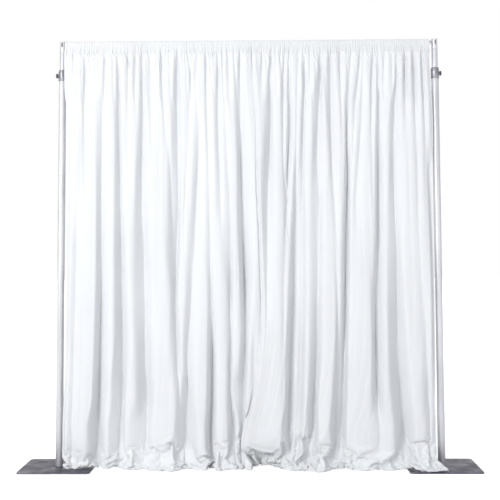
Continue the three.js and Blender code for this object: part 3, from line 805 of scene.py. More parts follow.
right_valleys = (
    ((55, 262, 2, 2, .6), (80, 261, 3, 4, .4), (110, 262, 4, 3, 0)),
    ((55, 271, 2, 2, .8), (80, 270, 2, 3, .75), (130, 270.5, 7, 2, .7), (160, 269, 5, 6, .65),
     (200, 268, 7, 6, .6), (300, 267, 6, 4, .4), (350, 266, 6, 6, 0)),
    ((55, 275.5, 3, 2, .4), (80, 275, 3, 3, .2), (100, 276, 3, 3, 0)),
    ((55, 280, 3, 2, .6), (66, 280, 2, 2, .35), (80, 281, 2, 2, 0)),
    ((55, 284, 2, 3, .55), (80, 283.5, 2, 3, .7), (100, 282.5, 3, 3, .7), (130, 282.5, 2, 6, .4),
     (200, 283, 3, 3, .35), (250, 284, 3, 3, 0)),
    ((55, 288.5, 3, 2, .5), (80, 288.5, 3, 2, .7), (130, 289.5, 3, 4, .8), (160, 288.5, 2, 3, .95),
     (200, 287, 2, 3, 1), (250, 285.5, 2, 3, .7), (300, 284, 3, 2, .45), (400, 283, 2, 3, .2)),
    ((55, 299, 3, 2, .5), (80, 297, 2, 2, .3), (130, 296, 2, 2, .4), (160, 296, 2, 3, .45),
     (200, 295, 3, 10, .65), (250, 293.5, 3, 11, .9), (300, 292.5, 3, 13, 1), (350, 290.5, 4, 14, 1),
     (400, 289, 3, 14, 1.05), (430, 288, 5, 13, 1.1)),
    ((55, 305, 3, 3, .55), (80, 304, 2, 3, .75), (130, 302.5, 2, 3, .7), (200, 302.5, 6, 2, .7),
     (300, 302.5, 5, 3, .8), (400, 300, 6, 3, .8), (430, 298, 6, 5, .7)),
    ((55, 309.5, 3, 2, .5), (80, 309.5, 5, 2, .4), (100, 307.5, 2, 5, .25), (140, 308, 4, 4, 0)),
    ((55, 320, 2, 3, .85), (80, 320.5, 4, 2, .85), (100, 320, 8, 2, .75), (130, 317, 4, 8, .6),
     (160, 316.5, 4, 10, .5), (200, 319.5, 10, 3, .5), (250, 319.5, 12, 2, .6), (300, 318, 9, 4, .65),
     (350, 317.5, 8, 4, .8), (400, 315.5, 8, 2, .95), (430, 314.5, 10, 3, .95)),
    ((55, 330, 3, 2, .9), (80, 330.5, 6, 3, .65), (130, 330, 3, 7, .6), (160, 331.5, 3, 7, .6),
     (200, 334, 4, 4, .4), (250, 336.5, 5, 3, .25), (300, 337.5, 2, 3, .5), (350, 338, 3, 4, .65),
     (430, 336, 5, 6, .75)),
    ((55, 339, 2, 3, .7), (100, 341, 2, 2, .35), (160, 342.5, 3, 3, 0)),
    ((55, 350.5, 2, 4, .5), (80, 350, 4, 2, .45), (100, 347, 3, 2, .6), (130, 347, 2, 2, 1),
     (200, 347, 3, 3, 1.1), (300, 346.5, 5, 2, 1.1), (400, 344.5, 9, 2, 1), (430, 342.5, 10, 3, 1)),
    ((55, 359.5, 3, 2, .65), (80, 358, 2, 3, .6), (100, 355.5, 4, 2, .5), (160, 352, 2, 2, .4),
     (230, 350, 2, 2, 0)),
    ((55, 362.5, 3, 2, .4), (130, 361.5, 6, 3, .35), (160, 358.5, 3, 7, .35), (200, 355, 3, 7, .35),
     (290, 356, 3, 3, 0)),
    ((55, 373, 2, 3, .7), (80, 371, 2, 4, .6), (160, 371, 2, 3, .35), (230, 374, 3, 3, 0)),
    ((55, 378.5, 3, 2, .6), (100, 378, 2, 2, .7), (130, 378, 3, 3, .85), (200, 378, 3, 6, .8),
     (250, 377.5, 2, 7, .8), (300, 376.5, 5, 6, .8), (350, 375.5, 3, 8, .85), (400, 378, 6, 4, .8),
     (430, 380, 8, 7, .3)),
    ((55, 384, 2, 3, .6), (80, 383, 2, 3, .35), (120, 383.5, 2, 3, 0)),
    ((55, 392, 3, 2, .5), (80, 392, 2, 2, .45), (95, 392.5, 2, 2, 0)),
    ((55, 396.5, 3, 2, .6), (80, 396, 2, 2, .7), (130, 394, 6, 6, .6), (160, 392.5, 3, 10, .55),
     (200, 394, 6, 7, .55), (250, 397, 10, 4, .6), (300, 398, 10, 4, .7), (350, 397.5, 8, 8, .9),
     (400, 402, 9, 8, 1.05), (430, 404.5, 8, 8, 1.05)),
    ((55, 405, 2, 3, .75), (80, 404, 3, 3, .7), (130, 406, 3, 6, .3), (200, 409, 3, 4, 0)),
    ((55, 413, 3, 3, .8), (100, 414.5, 4, 3, .6), (160, 417, 3, 3, .4), (250, 418, 6, 6, .15),
     (350, 426, 4, 4, .35), (400, 429, 8, 7, .5), (430, 430, 5, 5, .45)),
    ((55, 421, 2, 2, .7), (80, 421.5, 2, 4, .7), (130, 425, 3, 4, .4), (200, 430, 8, 3, .45),
     (260, 432, 4, 3, .3), (300, 431, 3, 3, 0)),
)


def ease(share):
    share = np.clip(share, 0, 1)
    return share * share * (3 - 2 * share)


def place_across(pixel, height):
    """A pixel of the photograph as a place across the bay, in metres, at a height."""
    down = (bay_height - height) / bay_height
    bay_pixels = bay_pixels_top + (bay_pixels_foot - bay_pixels_top) * down
    middle = middle_pixel_top + (middle_pixel_foot - middle_pixel_top) * down
    return (pixel - middle) * bay_width / bay_pixels


def run_of(x, y):
    return np.concatenate([[0], np.cumsum(np.hypot(np.diff(x), np.diff(y)))])


def at_row(spots, row, part):
    """A part of a list of spots, read between them at a row of the photograph."""
    return np.interp(row, [spot[0] for spot in spots], [spot[part] for spot in spots])


# The folds' greatest depth, at distances below the stitch line, and how steep a valley may
# be. Then how the rows are read and averaged, how crests and side edges are shaped, and
# how the foot is shortened, spilled sideways and brought forward.
fold_drops = (0, 0.014, 0.03, 0.08, 0.16, 0.4, 1.0, 1.7, 2.3)
fold_depths = (0.009, 0.021, 0.032, 0.043, 0.053, 0.072, 0.094, 0.112, 0.120)
crest_lead, crest_swell = 0.35, 0.07
steepest_valley = 3.3
wider_rows, wider_reach, shade_shift = (60, 110, 200), (1.25, 1.40, 1.60), 1.2
row_spread, rows_averaged, last_row = 9.0, 5, 430
samples_across, lowest_read, least_depth = 2400, 0.12, 0.02
steep_power, sunk_limit = 1.7, 1.15
crest_reach, crest_limit = 11, 1.2
edge_turn, edge_turn_pixels, edge_depth_pixels = 0.25, 5, 14
ripple_drops, ripple_sizes = [0, 0.1, 0.4, 1.0, 2.4], [0.0014, 0.0016, 0.0008, 0.0005, 0.0005]
calming_rounds = 4
shorter_below, spill_start, spill_span = 0.35, 0.88, 0.12
forward_below, forward_span, forward_power = 0.14, 0.24, 1.2


def folded_panel(drops, columns, valleys, edges, seed, edge_depths, spare, spill):
    """The panel before gravity: one row of points across its folds for each drop."""
    random = np.random.default_rng(seed)
    phase = random.uniform(0, 2 * math.pi, 6)
    share = np.linspace(0, 1, samples_across)
    panel = np.zeros((len(drops), columns + 1, 3))
    for number, drop in enumerate(drops):
        height = stitch_height - drop
        level = max(height, lowest_read)
        rows = np.linspace(-row_spread, row_spread, rows_averaged)
        rows = foot_row - pixels_per_metre * level + rows
        start, end = (at_row(edge, rows, 1).mean() for edge in edges)
        pixel = start + (end - start) * share
        pixel_size = bay_width / bay_pixels_foot
        most = np.interp(drop, fold_drops, fold_depths)
        wider = np.interp(rows[2], wider_rows, wider_reach)
        sunk = np.zeros_like(pixel)
        nearest = np.full_like(pixel, crest_limit)
        for valley in valleys:
            centre, left, right, deep = (
                at_row(valley, rows, part).mean() for part in (1, 2, 3, 4)
            )
            centre += shade_shift
            valley_foot = valley[-1][0]
            if valley_foot < last_row and rows[2] > valley_foot + row_spread:
                deep = 0
            if deep < least_depth:
                continue
            reach = np.where(pixel < centre, left, right)
            away = np.abs(pixel - centre)
            steep = steepest_valley * deep**steep_power * (left + right) / 2 * pixel_size
            slope = 1 - np.sin(math.pi / 2 * np.clip(away / (reach * wider), 0, 1))
            sunk += min(most * deep, steep) * slope
            nearness = away / crest_reach + crest_limit * (1 - min(deep, 1))
            nearest = np.minimum(nearest, nearness)
        sunk = sunk_limit * most * np.tanh(sunk / (sunk_limit * most))
        from_edge = np.minimum(share, 1 - share) * (end - start)
        sunk += edge_turn * most * (1 - ease(from_edge / edge_turn_pixels))
        x = place_across(pixel, level)
        nearer = (hang_depth + most * crest_lead) / abs(camera_place[1])
        x -= (x - camera_place[0]) * nearer
        along = pixel - start
        wide_sway = 1.1 * np.sin(along * 0.083 + phase[1])
        fine_sway = 0.9 * np.sin(along * 0.11 + phase[3])
        ripple = (
            np.sin(2 * math.pi * along / 7.3 + phase[0] + wide_sway)
            + 0.7 * np.sin(2 * math.pi * along / 4.4 + phase[2] + fine_sway)
            + 0.5 * np.sin(2 * math.pi * along / 13 + phase[4])
        ) * np.interp(drop, ripple_drops, ripple_sizes)
        swell = crest_lead + crest_swell * ease(nearest / crest_limit)
        y = sunk - most * swell + ripple - hang_depth
        y += edge_depths[0] * (1 - ease(share * (end - start) / edge_depth_pixels))
        y += edge_depths[1] * (1 - ease((1 - share) * (end - start) / edge_depth_pixels))
        run = run_of(x, y)
        even = np.linspace(0, run[-1], columns + 1)
        panel[number, :, 0] = np.interp(even, run, x)
        panel[number, :, 1] = np.interp(even, run, y)
        panel[number, :, 2] = height
    for _ in range(calming_rounds):
        calm = (panel[:-2] + 2 * panel[1:-1] + panel[2:]) / 4
        calm[..., 2] = panel[1:-1, :, 2]
        panel[1:-1] = calm
    place = np.linspace(0, 1, columns + 1)
    below = shorter_below - panel[..., 2]
    share_low = np.clip(below / (shorter_below + spare_length), 0, 1)
    shorter = spare_length - np.interp(place, np.linspace(0, 1, len(spare)), spare)
    panel[..., 2] += share_low * shorter
    outward = spill * ease((place - spill_start) / spill_span)
    forward = 0.018 + 0.010 * np.sin(place * 31 + phase[0]) + 0.008 * np.sin(place * 67 + phase[1])
    forward += 0.006 * np.sin(place * 131 + phase[2]) + 0.6 * outward
    low = np.clip((forward_below - panel[..., 2]) / forward_span, 0, 1) ** forward_power
    panel[..., 0] += outward * low
    panel[..., 1] -= forward * low
    return panel


def new_piece(name, corners, faces):
    mesh = bpy.data.meshes.new(name)
    mesh.from_pydata(corners, [], faces)
    piece = bpy.data.objects.new(name, mesh)
    scene.collection.objects.link(piece)
    return piece


def grid_mesh(name, points):
    """A mesh of square faces over a grid of points, with the front facing -Y."""
    rows, columns = points.shape[:2]
    number = np.arange(rows * columns).reshape(rows, columns)
    corners = (number[:-1, :-1], number[1:, :-1], number[1:, 1:], number[:-1, 1:])
    faces = np.stack(corners, -1).reshape(-1, 4)
    return new_piece(name, points.reshape(-1, 3).tolist(), faces.tolist())


# The cloth settles: the floor and the base plates come up under the hanging panel, which
# crumples on them, and the folds higher up are held loosely in the places found above.
cloth_columns = 148
cloth_drops = np.concatenate([
    np.linspace(0, 0.2, 11, endpoint=False),
    np.linspace(0.2, 1.75, 38, endpoint=False),
    np.linspace(1.75, stitch_height + spare_length, 80),
])
settling_frames, floor_arrives = 70, 42
cloth_gap = 0.003
ground_half_width, ground_half_depth = 1.6, 0.7
# How firmly the folds and the side edges are held, and from what height up
edge_columns = (0, 1, 2, 3, -4, -3, -2, -1)
hold_most, hold_above, hold_span, hold_per_spare = 0.40, 0.03, 0.14, 0.55
edge_hold, edge_hold_above, edge_hold_span = 0.4, 0.05, 0.15


def rising_floor():
    """The floor and the two plates as one thin shell that rises to its real place."""
    width, depth = ground_half_width, ground_half_depth
    corners = [(-width, -depth, 0), (width, -depth, 0), (width, depth, 0), (-width, depth, 0)]
    faces = [(0, 1, 2, 3)]
    for side in sides:
        low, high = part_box("base_plate_" + side)
        first = len(corners)
        for level in (low.z - cloth_gap, high.z):
            corners += [(low.x, low.y, level), (high.x, low.y, level)]
            corners += [(high.x, high.y, level), (low.x, high.y, level)]
        faces.append(tuple(first + number for number in (4, 5, 6, 7)))
        for number in range(4):
            following = (number + 1) % 4
            wall = (number, following, following + 4, number + 4)
            faces.append(tuple(first + corner for corner in wall))
    ground = new_piece("rising_floor", corners, faces)
    for frame_number, level in ((1, -spare_length - 4 * cloth_gap), (floor_arrives, 0)):
        ground.location.z = level
        ground.keyframe_insert("location", index=2, frame=frame_number)
    ground.modifiers.new("solid_ground", "COLLISION")
    ground.collision.thickness_outer = cloth_gap
    ground.collision.thickness_inner = 0.05
    ground.collision.cloth_friction = 12
    ground.collision.damping = 0.6
    return ground


def settle(panel, spare):
    """Simulates the panel as cloth over the rising floor and returns its points."""
    piece = grid_mesh("settling_panel", panel)
    held = piece.vertex_groups.new(name="held")
    columns = panel.shape[1]
    heights = panel[..., 2]
    loose = np.interp(np.linspace(0, 1, columns), np.linspace(0, 1, len(spare)), spare)
    above = heights - hold_above - hold_per_spare * loose
    hold = hold_most * np.clip(above / hold_span, 0, 1)
    for column in edge_columns:
        above = heights[:, column] - edge_hold_above
        hold[:, column] += edge_hold * np.clip(above / edge_hold_span, 0, 1)
    hold[0] = 1
    for number, weight in enumerate(hold.ravel()):
        if weight > 0:
            held.add([number], float(weight), "REPLACE")
    cloth = piece.modifiers.new("cloth", "CLOTH")
    fabric = cloth.settings
    fabric.quality = 6
    fabric.mass = 0.06
    fabric.air_damping = 1.5
    fabric.tension_stiffness = fabric.compression_stiffness = 40
    fabric.shear_stiffness = 8
    fabric.bending_stiffness = 0.05
    fabric.tension_damping = fabric.compression_damping = 8
    fabric.shear_damping = 5
    fabric.bending_damping = 0.5
    fabric.vertex_group_mass = "held"
    touch = cloth.collision_settings
    touch.distance_min = cloth_gap
    touch.collision_quality = 3
    touch.use_self_collision = True
    touch.self_distance_min = cloth_gap
    touch.self_friction = 3
    cloth.point_cache.frame_start = 1
    cloth.point_cache.frame_end = settling_frames
    for frame_number in range(1, settling_frames + 1):
        scene.frame_set(frame_number)
    settled = piece.evaluated_get(bpy.context.evaluated_depsgraph_get()).data
    points = np.zeros(len(settled.vertices) * 3)
    settled.vertices.foreach_get("co", points)
    scene.frame_set(1)
    bpy.data.objects.remove(piece)
    return points.reshape(panel.shape)


left_spare = (0.03, 0.02, 0.015, 0.02, 0.05, 0.065, 0.06, 0.06, 0.035, 0.02, 0.02)
right_spare = (0.045, 0.085, 0.10, 0.11, 0.11, 0.08, 0.035, 0.05, 0.045, 0.06, 0.07)
right_spill = 0.07
plans = {
    "left": (left_valleys, left_edges, 1, (0, 0.014), left_spare, 0),
    "right": (right_valleys, right_edges, 2, (-0.008, 0), right_spare, right_spill),
}
spares = {"left": left_spare, "right": right_spare}
planned = {side: folded_panel(cloth_drops, cloth_columns, *plans[side]) for side in sides}
scene.gravity = (0, 0, -9.81)
ground = rising_floor()
settled = {side: settle(planned[side], spares[side]) for side in sides}
rise = ground.animation_data.action
bpy.data.objects.remove(ground)
bpy.data.actions.remove(rise)


# The panels' surface, finer than the simulated one. Small gathers run down from the rod
# pocket, and shallow pressed pleats show in the wide folds.
fine_columns = 360
fine_drops = np.concatenate([
    np.linspace(0, 0.12, 17, endpoint=False),
    np.linspace(0.12, 0.30, 11, endpoint=False),
    np.linspace(0.30, 1.85, 30, endpoint=False),
    np.linspace(1.85, stitch_height + spare_length, 75),
])
gather_width, gather_depth, gather_fade = 0.021, 0.0034, 0.075
pleat_width, pleat_depth = 0.017, 0.0003
panel_places = np.linspace(0, panel_width, fine_columns + 1)
cloth_rest = 0.0022
mast_clearance, collar_clearance = 0.0195, 0.0062
collar_reaches, collar_blend = 2.31, 0.04
crease_above, crease_span, pleats_below, lying_below = 0.10, 0.20, 0.15, 0.04
gather_power, wander_fade = 1.1, 0.08
gather_seeds = {"left": 3, "right": 4}


def between(points, places):
    """Smooth points at fractional places along the first axis of a grid."""
    last = len(points) - 1
    before = np.clip(np.floor(places).astype(int), 0, last - 1)
    share = (places - before)[:, None, None]
    p0, p1 = points[np.maximum(before - 1, 0)], points[before]
    p2, p3 = points[before + 1], points[np.minimum(before + 2, last)]
    return 0.5 * (
        2 * p1
        + (p2 - p0) * share
        + (2 * p0 - 5 * p1 + 4 * p2 - p3) * share**2
        + (3 * p1 - p0 - 3 * p2 + p3) * share**3
    )


def gathers(drops, places, seed):
    """Uneven gathers across the panel, from -1 in a crease to 1 on a crest, for each drop."""
    random = np.random.default_rng(seed)
    a, b, c, d, e, f = random.uniform(0, 2 * math.pi, 6)
    place, drop = places[None, :], np.asarray(drops)[:, None]
    turn = 2 * math.pi * place / gather_width
    turn = turn + 2.3 * np.sin(place * 21 + a) + 1.3 * np.sin(place * 57 + b)
    turn = turn + 0.9 * np.sin(drop * 30 + place * 17 + c)
    turn = turn + 0.5 * np.sin(drop * 71 + place * 43 + d)
    crest = 1 - 2 * (0.5 - 0.5 * np.cos(turn)) ** 1.5
    size = 0.78 + 0.22 * np.sin(place * 33 + e) + 0.16 * np.sin(place * 90 + 25 * drop + f)
    return crest * size


def pleats(drops, seed):
    """Shallow straight pleats that come and go along the panel."""
    random = np.random.default_rng(seed)
    a, b, c, d, e = random.uniform(0, 2 * math.pi, 5)
    place, drop = panel_places[None, :], np.asarray(drops)[:, None]
    turn = 2 * math.pi * place / pleat_width
    turn = turn + 1.8 * np.sin(place * 26 + a) + 0.5 * np.sin(drop * 2 + b)
    size = 0.5 + 0.3 * np.sin(place * 15 + drop * 1.1 + c)
    size = size + 0.3 * np.sin(place * 47 - drop * 2.2 + d)
    return np.sin(turn) * np.clip(size, 0, 1) + 0.35 * np.sin(turn * 0.37 + e)


def pole_radius(height):
    """How far cloth stays from an upright's axis, collar and cloth thickness included."""
    return mast_clearance + collar_clearance * ease((collar_reaches - height) / collar_blend)


def clear_poles(points):
    """Cloth that laps over an upright is laid in front of it."""
    for sign in sides.values():
        axis_x = sign * bay_width / 2
        beside = points[..., 0] - axis_x
        radius = pole_radius(points[..., 2])
        front = -np.sqrt(np.clip(radius**2 - beside**2, 0, None))
        over = (np.abs(beside) < radius) & (points[..., 1] > front)
        points[..., 1] = np.where(over, front, points[..., 1])


def ground_under(points):
    """The height of the floor, or of a base plate, under each point."""
    level = np.zeros(points.shape[:-1])
    x, y = points[..., 0], points[..., 1]
    for side in sides:
        low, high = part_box("base_plate_" + side)
        inside = (x > low.x - cloth_gap) & (x < high.x + cloth_gap)
        inside &= (y > low.y - cloth_gap) & (y < high.y)
        level = np.where(inside, high.z, level)
    return level


def on_fine_grid(points):
    """The points of the simulated grid, read between on the fine grid."""
    rows = np.interp(fine_drops, cloth_drops, np.arange(len(cloth_drops)))
    columns = np.linspace(0, cloth_columns, fine_columns + 1)
    points = between(points, rows)
    return np.swapaxes(between(np.swapaxes(points, 0, 1), columns), 0, 1)


def fine_surface(planned, settled, fine_plan, seed):
    """The settled panel on the fine grid, with sharp creases, small gathers and pleats."""
    points = on_fine_grid(settled)
    sharpness = ease((fine_plan[..., 2:] - crease_above) / crease_span)
    points += (fine_plan - on_fine_grid(planned)) * sharpness
    down, across = np.gradient(points, axis=0), np.gradient(points, axis=1)
    normal = np.cross(across, down)
    normal /= np.linalg.norm(normal, axis=-1, keepdims=True) + 1e-12
    drop = fine_drops[:, None]
    fade = gather_depth * np.exp(-((drop / gather_fade) ** gather_power))
    points[..., 1] -= fade * gathers(fine_drops, panel_places, seed)
    shallow = pleat_depth * ease(drop / pleats_below)
    points += normal * (shallow * pleats(fine_drops, seed + 10))[..., None]
    wander = 0.0022 * np.sin(panel_places * 13 + seed)
    wander = wander + 0.0014 * np.sin(panel_places * 37 + 2 * seed)
    points[..., 2] += wander * np.exp(-drop / wander_fade)
    lying = 1 - ease(points[..., 2] / lying_below)
    points[..., 2] -= cloth_gap * lying
    points[..., 2] = np.maximum(points[..., 2], ground_under(points) + cloth_rest / 2)
    clear_poles(points)
    return points


surfaces = {}
for side in sides:
    fine_plan = folded_panel(fine_drops, fine_columns, *plans[side])
    surfaces[side] = fine_surface(planned[side], settled[side], fine_plan, gather_seeds[side])

# Where the panels overlap in the middle, the left one passes behind the right one
overlap_columns, panel_clearance, level_difference = 80, 0.004, 0.05
for row in range(len(fine_drops)):
    front = surfaces["right"][row, :overlap_columns]
    behind = surfaces["left"][row, -overlap_columns:]
    if abs(front[:, 2].mean() - behind[:, 2].mean()) > level_difference:
        continue
    order = np.argsort(front[:, 0])
    least = np.interp(behind[:, 0], front[order, 0], front[order, 1], left=-1) + panel_clearance
    behind[:, 1] = np.maximum(behind[:, 1], least)


# The cloth itself: a matt, slightly translucent polyester with a fine plain weave, faint
# creases from packing, and a stitched hem round the edge.
cloth_colour, cloth_shade = (0.863, 0.875, 0.886), (0.833, 0.842, 0.856)
thread_width = 0.00045
hem_width, side_hem = 0.050, 0.020
through_light = 0.20
seam_half_width, seam_depth = 0.0009, 0.0009

matt_polyester = new_finish("matt_white_polyester", cloth_colour, 0.82)
tree = matt_polyester.node_tree
shader = tree.nodes["Principled BSDF"]
shader.inputs["Sheen Weight"].default_value = 0.12
shader.inputs["Sheen Roughness"].default_value = 0.45
shader.inputs["Specular IOR Level"].default_value = 0.3
tint(matt_polyester, grain(matt_polyester, (7, 7, 2.5), 3), cloth_shade, cloth_colour)
spread(matt_polyester, grain(matt_polyester, (30, 30, 12), 3), 0.74, 0.90)
emboss(matt_polyester, grain(matt_polyester, (26, 5, 0), 4, "UV"), 0.0012, 0.55)
emboss(matt_polyester, grain(matt_polyester, (9, 60, 0), 3, "UV"), 0.0004, 0.35)


def weave(finish, along, width):
    """Threads that run one way across the cloth, by the panel's own UV map in metres."""
    tree = finish.node_tree
    place = tree.nodes.new("ShaderNodeTexCoord")
    threads = tree.nodes.new("ShaderNodeTexWave")
    threads.wave_type = "BANDS"
    threads.bands_direction = along
    threads.inputs["Scale"].default_value = math.pi / (10 * width)
    threads.inputs["Distortion"].default_value = 0.4
    link(tree, place.outputs["UV"], threads.inputs["Vector"])
    return threads.outputs["Fac"]


def seam(finish, axis, at):
    """1 along a line of stitching at one place on the UV map, and 0 beside it."""
    tree = finish.node_tree
    place = tree.nodes.new("ShaderNodeTexCoord")
    parts = tree.nodes.new("ShaderNodeSeparateXYZ")
    link(tree, place.outputs["UV"], parts.inputs[0])
    line = tree.nodes.new("ShaderNodeMath")
    line.operation = "COMPARE"
    line.inputs[1].default_value = at
    line.inputs[2].default_value = seam_half_width
    link(tree, parts.outputs[axis], line.inputs[0])
    return line.outputs[0]


emboss(matt_polyester, weave(matt_polyester, "X", thread_width), 0.00008, 0.5)
emboss(matt_polyester, weave(matt_polyester, "Y", thread_width), 0.00008, 0.5)
foot_seam = -stitch_height - spare_length + hem_width
for axis, at in (("X", side_hem), ("X", panel_width - side_hem), ("Y", foot_seam)):
    emboss(matt_polyester, seam(matt_polyester, axis, at), -seam_depth, 0.8)
translucent = tree.nodes.new("ShaderNodeBsdfTranslucent")
translucent.inputs["Color"].default_value = (*cloth_colour, 1)
cloth_mix = tree.nodes.new("ShaderNodeMixShader")
cloth_mix.inputs["Fac"].default_value = through_light
link(tree, shader.outputs[0], cloth_mix.inputs[1])
link(tree, translucent.outputs[0], cloth_mix.inputs[2])
link(tree, cloth_mix.outputs[0], tree.nodes["Material Output"].inputs["Surface"])


# Each panel as one piece of cloth, with its folded hems thicker than the rest
single_thickness, hem_thickness = 0.0010, 0.0024
cloth_smooth = math.radians(75)


def cloth_piece(name, points, runs, across, thick):
    """A grid of points as cloth: UV map in metres, and a wall that is thicker at the hems."""
    piece = grid_mesh(name, points)
    mesh = piece.data
    corners = np.zeros(len(mesh.loops), int)
    mesh.loops.foreach_get("vertex_index", corners)
    rows, columns = corners // points.shape[1], corners % points.shape[1]
    places = np.column_stack([across[columns], -np.asarray(runs)[rows]])
    mesh.uv_layers.new(name="cloth").data.foreach_set("uv", places.ravel())
    weight = np.full(points.shape[:2], single_thickness / hem_thickness)
    weight[thick] = 1
    group = piece.vertex_groups.new(name="thickness")
    for value in np.unique(weight):
        group.add(np.flatnonzero(weight.ravel() == value).tolist(), float(value), "REPLACE")
    wall = piece.modifiers.new("wall", "SOLIDIFY")
    wall.thickness = hem_thickness
    wall.offset = 0
    wall.vertex_group = "thickness"
    choose(piece)
    bpy.ops.object.modifier_apply(modifier=wall.name)
    piece.vertex_groups.clear()
    mesh.materials.append(matt_polyester)
    bpy.ops.object.shade_smooth_by_angle(angle=cloth_smooth)
    return piece


# Rod pockets
# The top of each panel is turned over the crossbar and stitched to its own back. The
# pocket is much wider than the bar is long, so it is pushed together in small gathers.
pocket_radius = 0.0190
front_rows, over_rows, back_rows = 8, 16, 7
crest_over_bar = 0.0036
turned_edge = 0.008
bar_end_room = 0.006
pocket_places = np.linspace(0, panel_width, 2 * fine_columns + 1)
crinkle_width, crinkle_length = 0.012, 0.022
over_bar_span, least_over_bar = 0.040, 0.0006


def crinkles(runs, places, seed):
    """Small slanting crinkles between the stitching and the bar, from about -0.4 to 0.4."""
    random = np.random.default_rng(seed)
    a, b, c, d = random.uniform(0, 2 * math.pi, 4)
    place, run = places[None, :], np.asarray(runs)[:, None]
    slant = 1.8 * np.sin(run / crinkle_length * 2 + place * 45 + a)
    slant = slant + 1.2 * np.sin(place * 71 + b)
    first = np.sin(2 * math.pi * place / crinkle_width + slant)
    bend = 2.5 * np.sin(place * 90 + c)
    second = np.sin(2 * math.pi * run / crinkle_length + bend + place * 130)
    size = 0.5 + 0.5 * np.sin(place * 37 + run * 40 + d)
    return 0.40 * first * size + 0.24 * second * (1 - 0.5 * size)


def pocket_surface(panel, seed):
    """Rows from the front of the stitch line, over the bar and down to it at the back."""
    seam_line = np.stack(
        [np.interp(pocket_places, panel_places, panel[0, :, axis]) for axis in range(3)], -1
    )
    centre = np.array([-hang_depth, stitch_height])
    bar = np.array([0, bar_height])
    reach = centre - bar
    distance = math.hypot(*reach)
    lean = math.acos(pocket_radius / distance)
    hanging = math.atan2(reach[1], reach[0])
    front_angle, back_angle = hanging - lean + 2 * math.pi, hanging + lean
    path, outward = [], []
    for share in np.linspace(0, 1, front_rows, endpoint=False):
        direction = np.array([math.cos(front_angle), math.sin(front_angle)])
        path.append(centre + (bar + pocket_radius * direction - centre) * share)
        outward.append(np.array([-1, 0]) * (1 - share) + direction * share)
    for angle in np.linspace(front_angle, back_angle, over_rows):
        direction = np.array([math.cos(angle), math.sin(angle)])
        path.append(bar + pocket_radius * direction)
        outward.append(direction)
    back_foot = centre + np.array([2 * cloth_rest, 0])
    for share in np.linspace(0, 1, back_rows + 1)[1:]:
        direction = np.array([math.cos(back_angle), math.sin(back_angle)])
        start = bar + pocket_radius * direction
        path.append(start + (back_foot - start) * share)
        outward.append(direction * (1 - share) + np.array([1, 0]) * share)
    path.append(back_foot - np.array([0, turned_edge]))
    outward.append(np.array([1, 0]))
    path, outward = np.array(path), np.array(outward)
    outward /= np.linalg.norm(outward, axis=1, keepdims=True)
    run = run_of(path[:, 0], path[:, 1])
    from_seams = np.minimum(run, run[-1] - turned_edge - run)
    over_bar = ease(from_seams / over_bar_span)[:, None]
    pattern = 0.60 * gathers(-run, pocket_places, seed) + crinkles(run, pocket_places, seed + 20)
    behind = (run > run[-1] / 2)[:, None]
    loose = gather_depth * np.where(behind & (over_bar < 1), -pattern, pattern)
    around = least_over_bar + crest_over_bar * (0.5 + 0.5 * pattern)
    stand_off = loose * (1 - over_bar) + around * over_bar
    points = np.zeros((len(path), len(pocket_places), 3))
    middle = (seam_line[0, 0] + seam_line[-1, 0]) / 2
    narrowing = 1 - bar_end_room / abs(seam_line[-1, 0] - seam_line[0, 0]) * ease(over_bar * 2)
    points[..., 0] = middle + (seam_line[None, :, 0] - middle) * narrowing
    macro = seam_line[:, 1] + gather_depth * gathers([0], pocket_places, seed)[0] + hang_depth
    points[..., 1] = path[:, :1] + outward[:, :1] * stand_off + macro[None, :] * (1 - over_bar)
    level = seam_line[:, 2] - stitch_height
    points[..., 2] = path[:, 1:] + outward[:, 1:] * stand_off + level[None, :] * (1 - over_bar)
    return points, run


# The stitching along the foot of the pockets, thread by thread
threads_per_panel = 330
thread_length, thread_thickness = 0.0030, 0.0005
cotton = new_finish("white_sewing_thread", (0.86, 0.87, 0.885), 0.6)
tint(cotton, grain(cotton, (900, 900, 900), 2), (0.83, 0.84, 0.855), (0.88, 0.89, 0.90))
emboss(cotton, grain(cotton, (4000, 4000, 4000), 2), 0.0001)


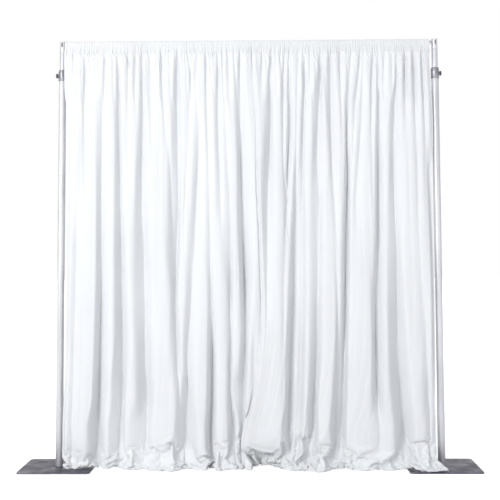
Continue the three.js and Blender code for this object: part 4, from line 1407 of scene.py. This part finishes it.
def stitches(name, line):
    """A row of short stitches that stand just in front of a line of points."""
    run = np.concatenate([[0], np.cumsum(np.linalg.norm(np.diff(line, axis=0), axis=1))])
    corners, faces = [], []
    for place in (np.arange(threads_per_panel) + 0.5) / threads_per_panel * run[-1]:
        ends = np.clip([place - thread_length / 2, place + thread_length / 2], 0, run[-1])
        start, end = (
            np.array([np.interp(at, run, line[:, axis]) for axis in range(3)]) for at in ends
        )
        along = (end - start) / (np.linalg.norm(end - start) + 1e-9)
        side_way = np.cross(along, (0, 0, 1))
        side_way /= np.linalg.norm(side_way)
        up_way = np.cross(side_way, along)
        middle = (start + end) / 2
        half = thread_thickness / 2
        ring = [side_way * half, up_way * half, -side_way * half, -up_way * half]
        first = len(corners)
        corners += [start, *(middle + offset for offset in ring), end]
        for number in range(4):
            near, far = first + 1 + number, first + 1 + (number + 1) % 4
            faces += [(first, near, far), (first + 5, far, near)]
    piece = new_piece(name, [tuple(corner) for corner in corners], faces)
    choose(piece)
    bpy.ops.object.mode_set(mode="EDIT")
    bpy.ops.mesh.select_all(action="SELECT")
    bpy.ops.mesh.normals_make_consistent(inside=False)
    bpy.ops.object.mode_set(mode="OBJECT")
    piece.data.materials.append(cotton)
    return piece


for side, surface in surfaces.items():
    pocket_points, pocket_run = pocket_surface(surface, gather_seeds[side])
    hemmed = np.zeros(surface.shape[:2], bool)
    hemmed[fine_drops > fine_drops[-1] - hem_width] = True
    hemmed[:, panel_places < side_hem] = True
    hemmed[:, panel_places > panel_width - side_hem] = True
    panel = cloth_piece("panel_" + side, surface, fine_drops, panel_places, hemmed)
    pocket_hem = np.minimum(pocket_places, panel_width - pocket_places) < side_hem
    pocket_hems = np.tile(pocket_hem, (len(pocket_run), 1))
    pocket = cloth_piece("pocket_" + side, pocket_points, -pocket_run, pocket_places, pocket_hems)
    seam_front = surface[0] - np.array([0, single_thickness / 2 + thread_thickness / 4, 0])
    thread = stitches("pocket_stitches_" + side, seam_front)
    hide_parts("drape_" + side)
    for piece in (panel, pocket, thread):
        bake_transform(piece)


# The box round everything shown, the floor left out
low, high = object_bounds()
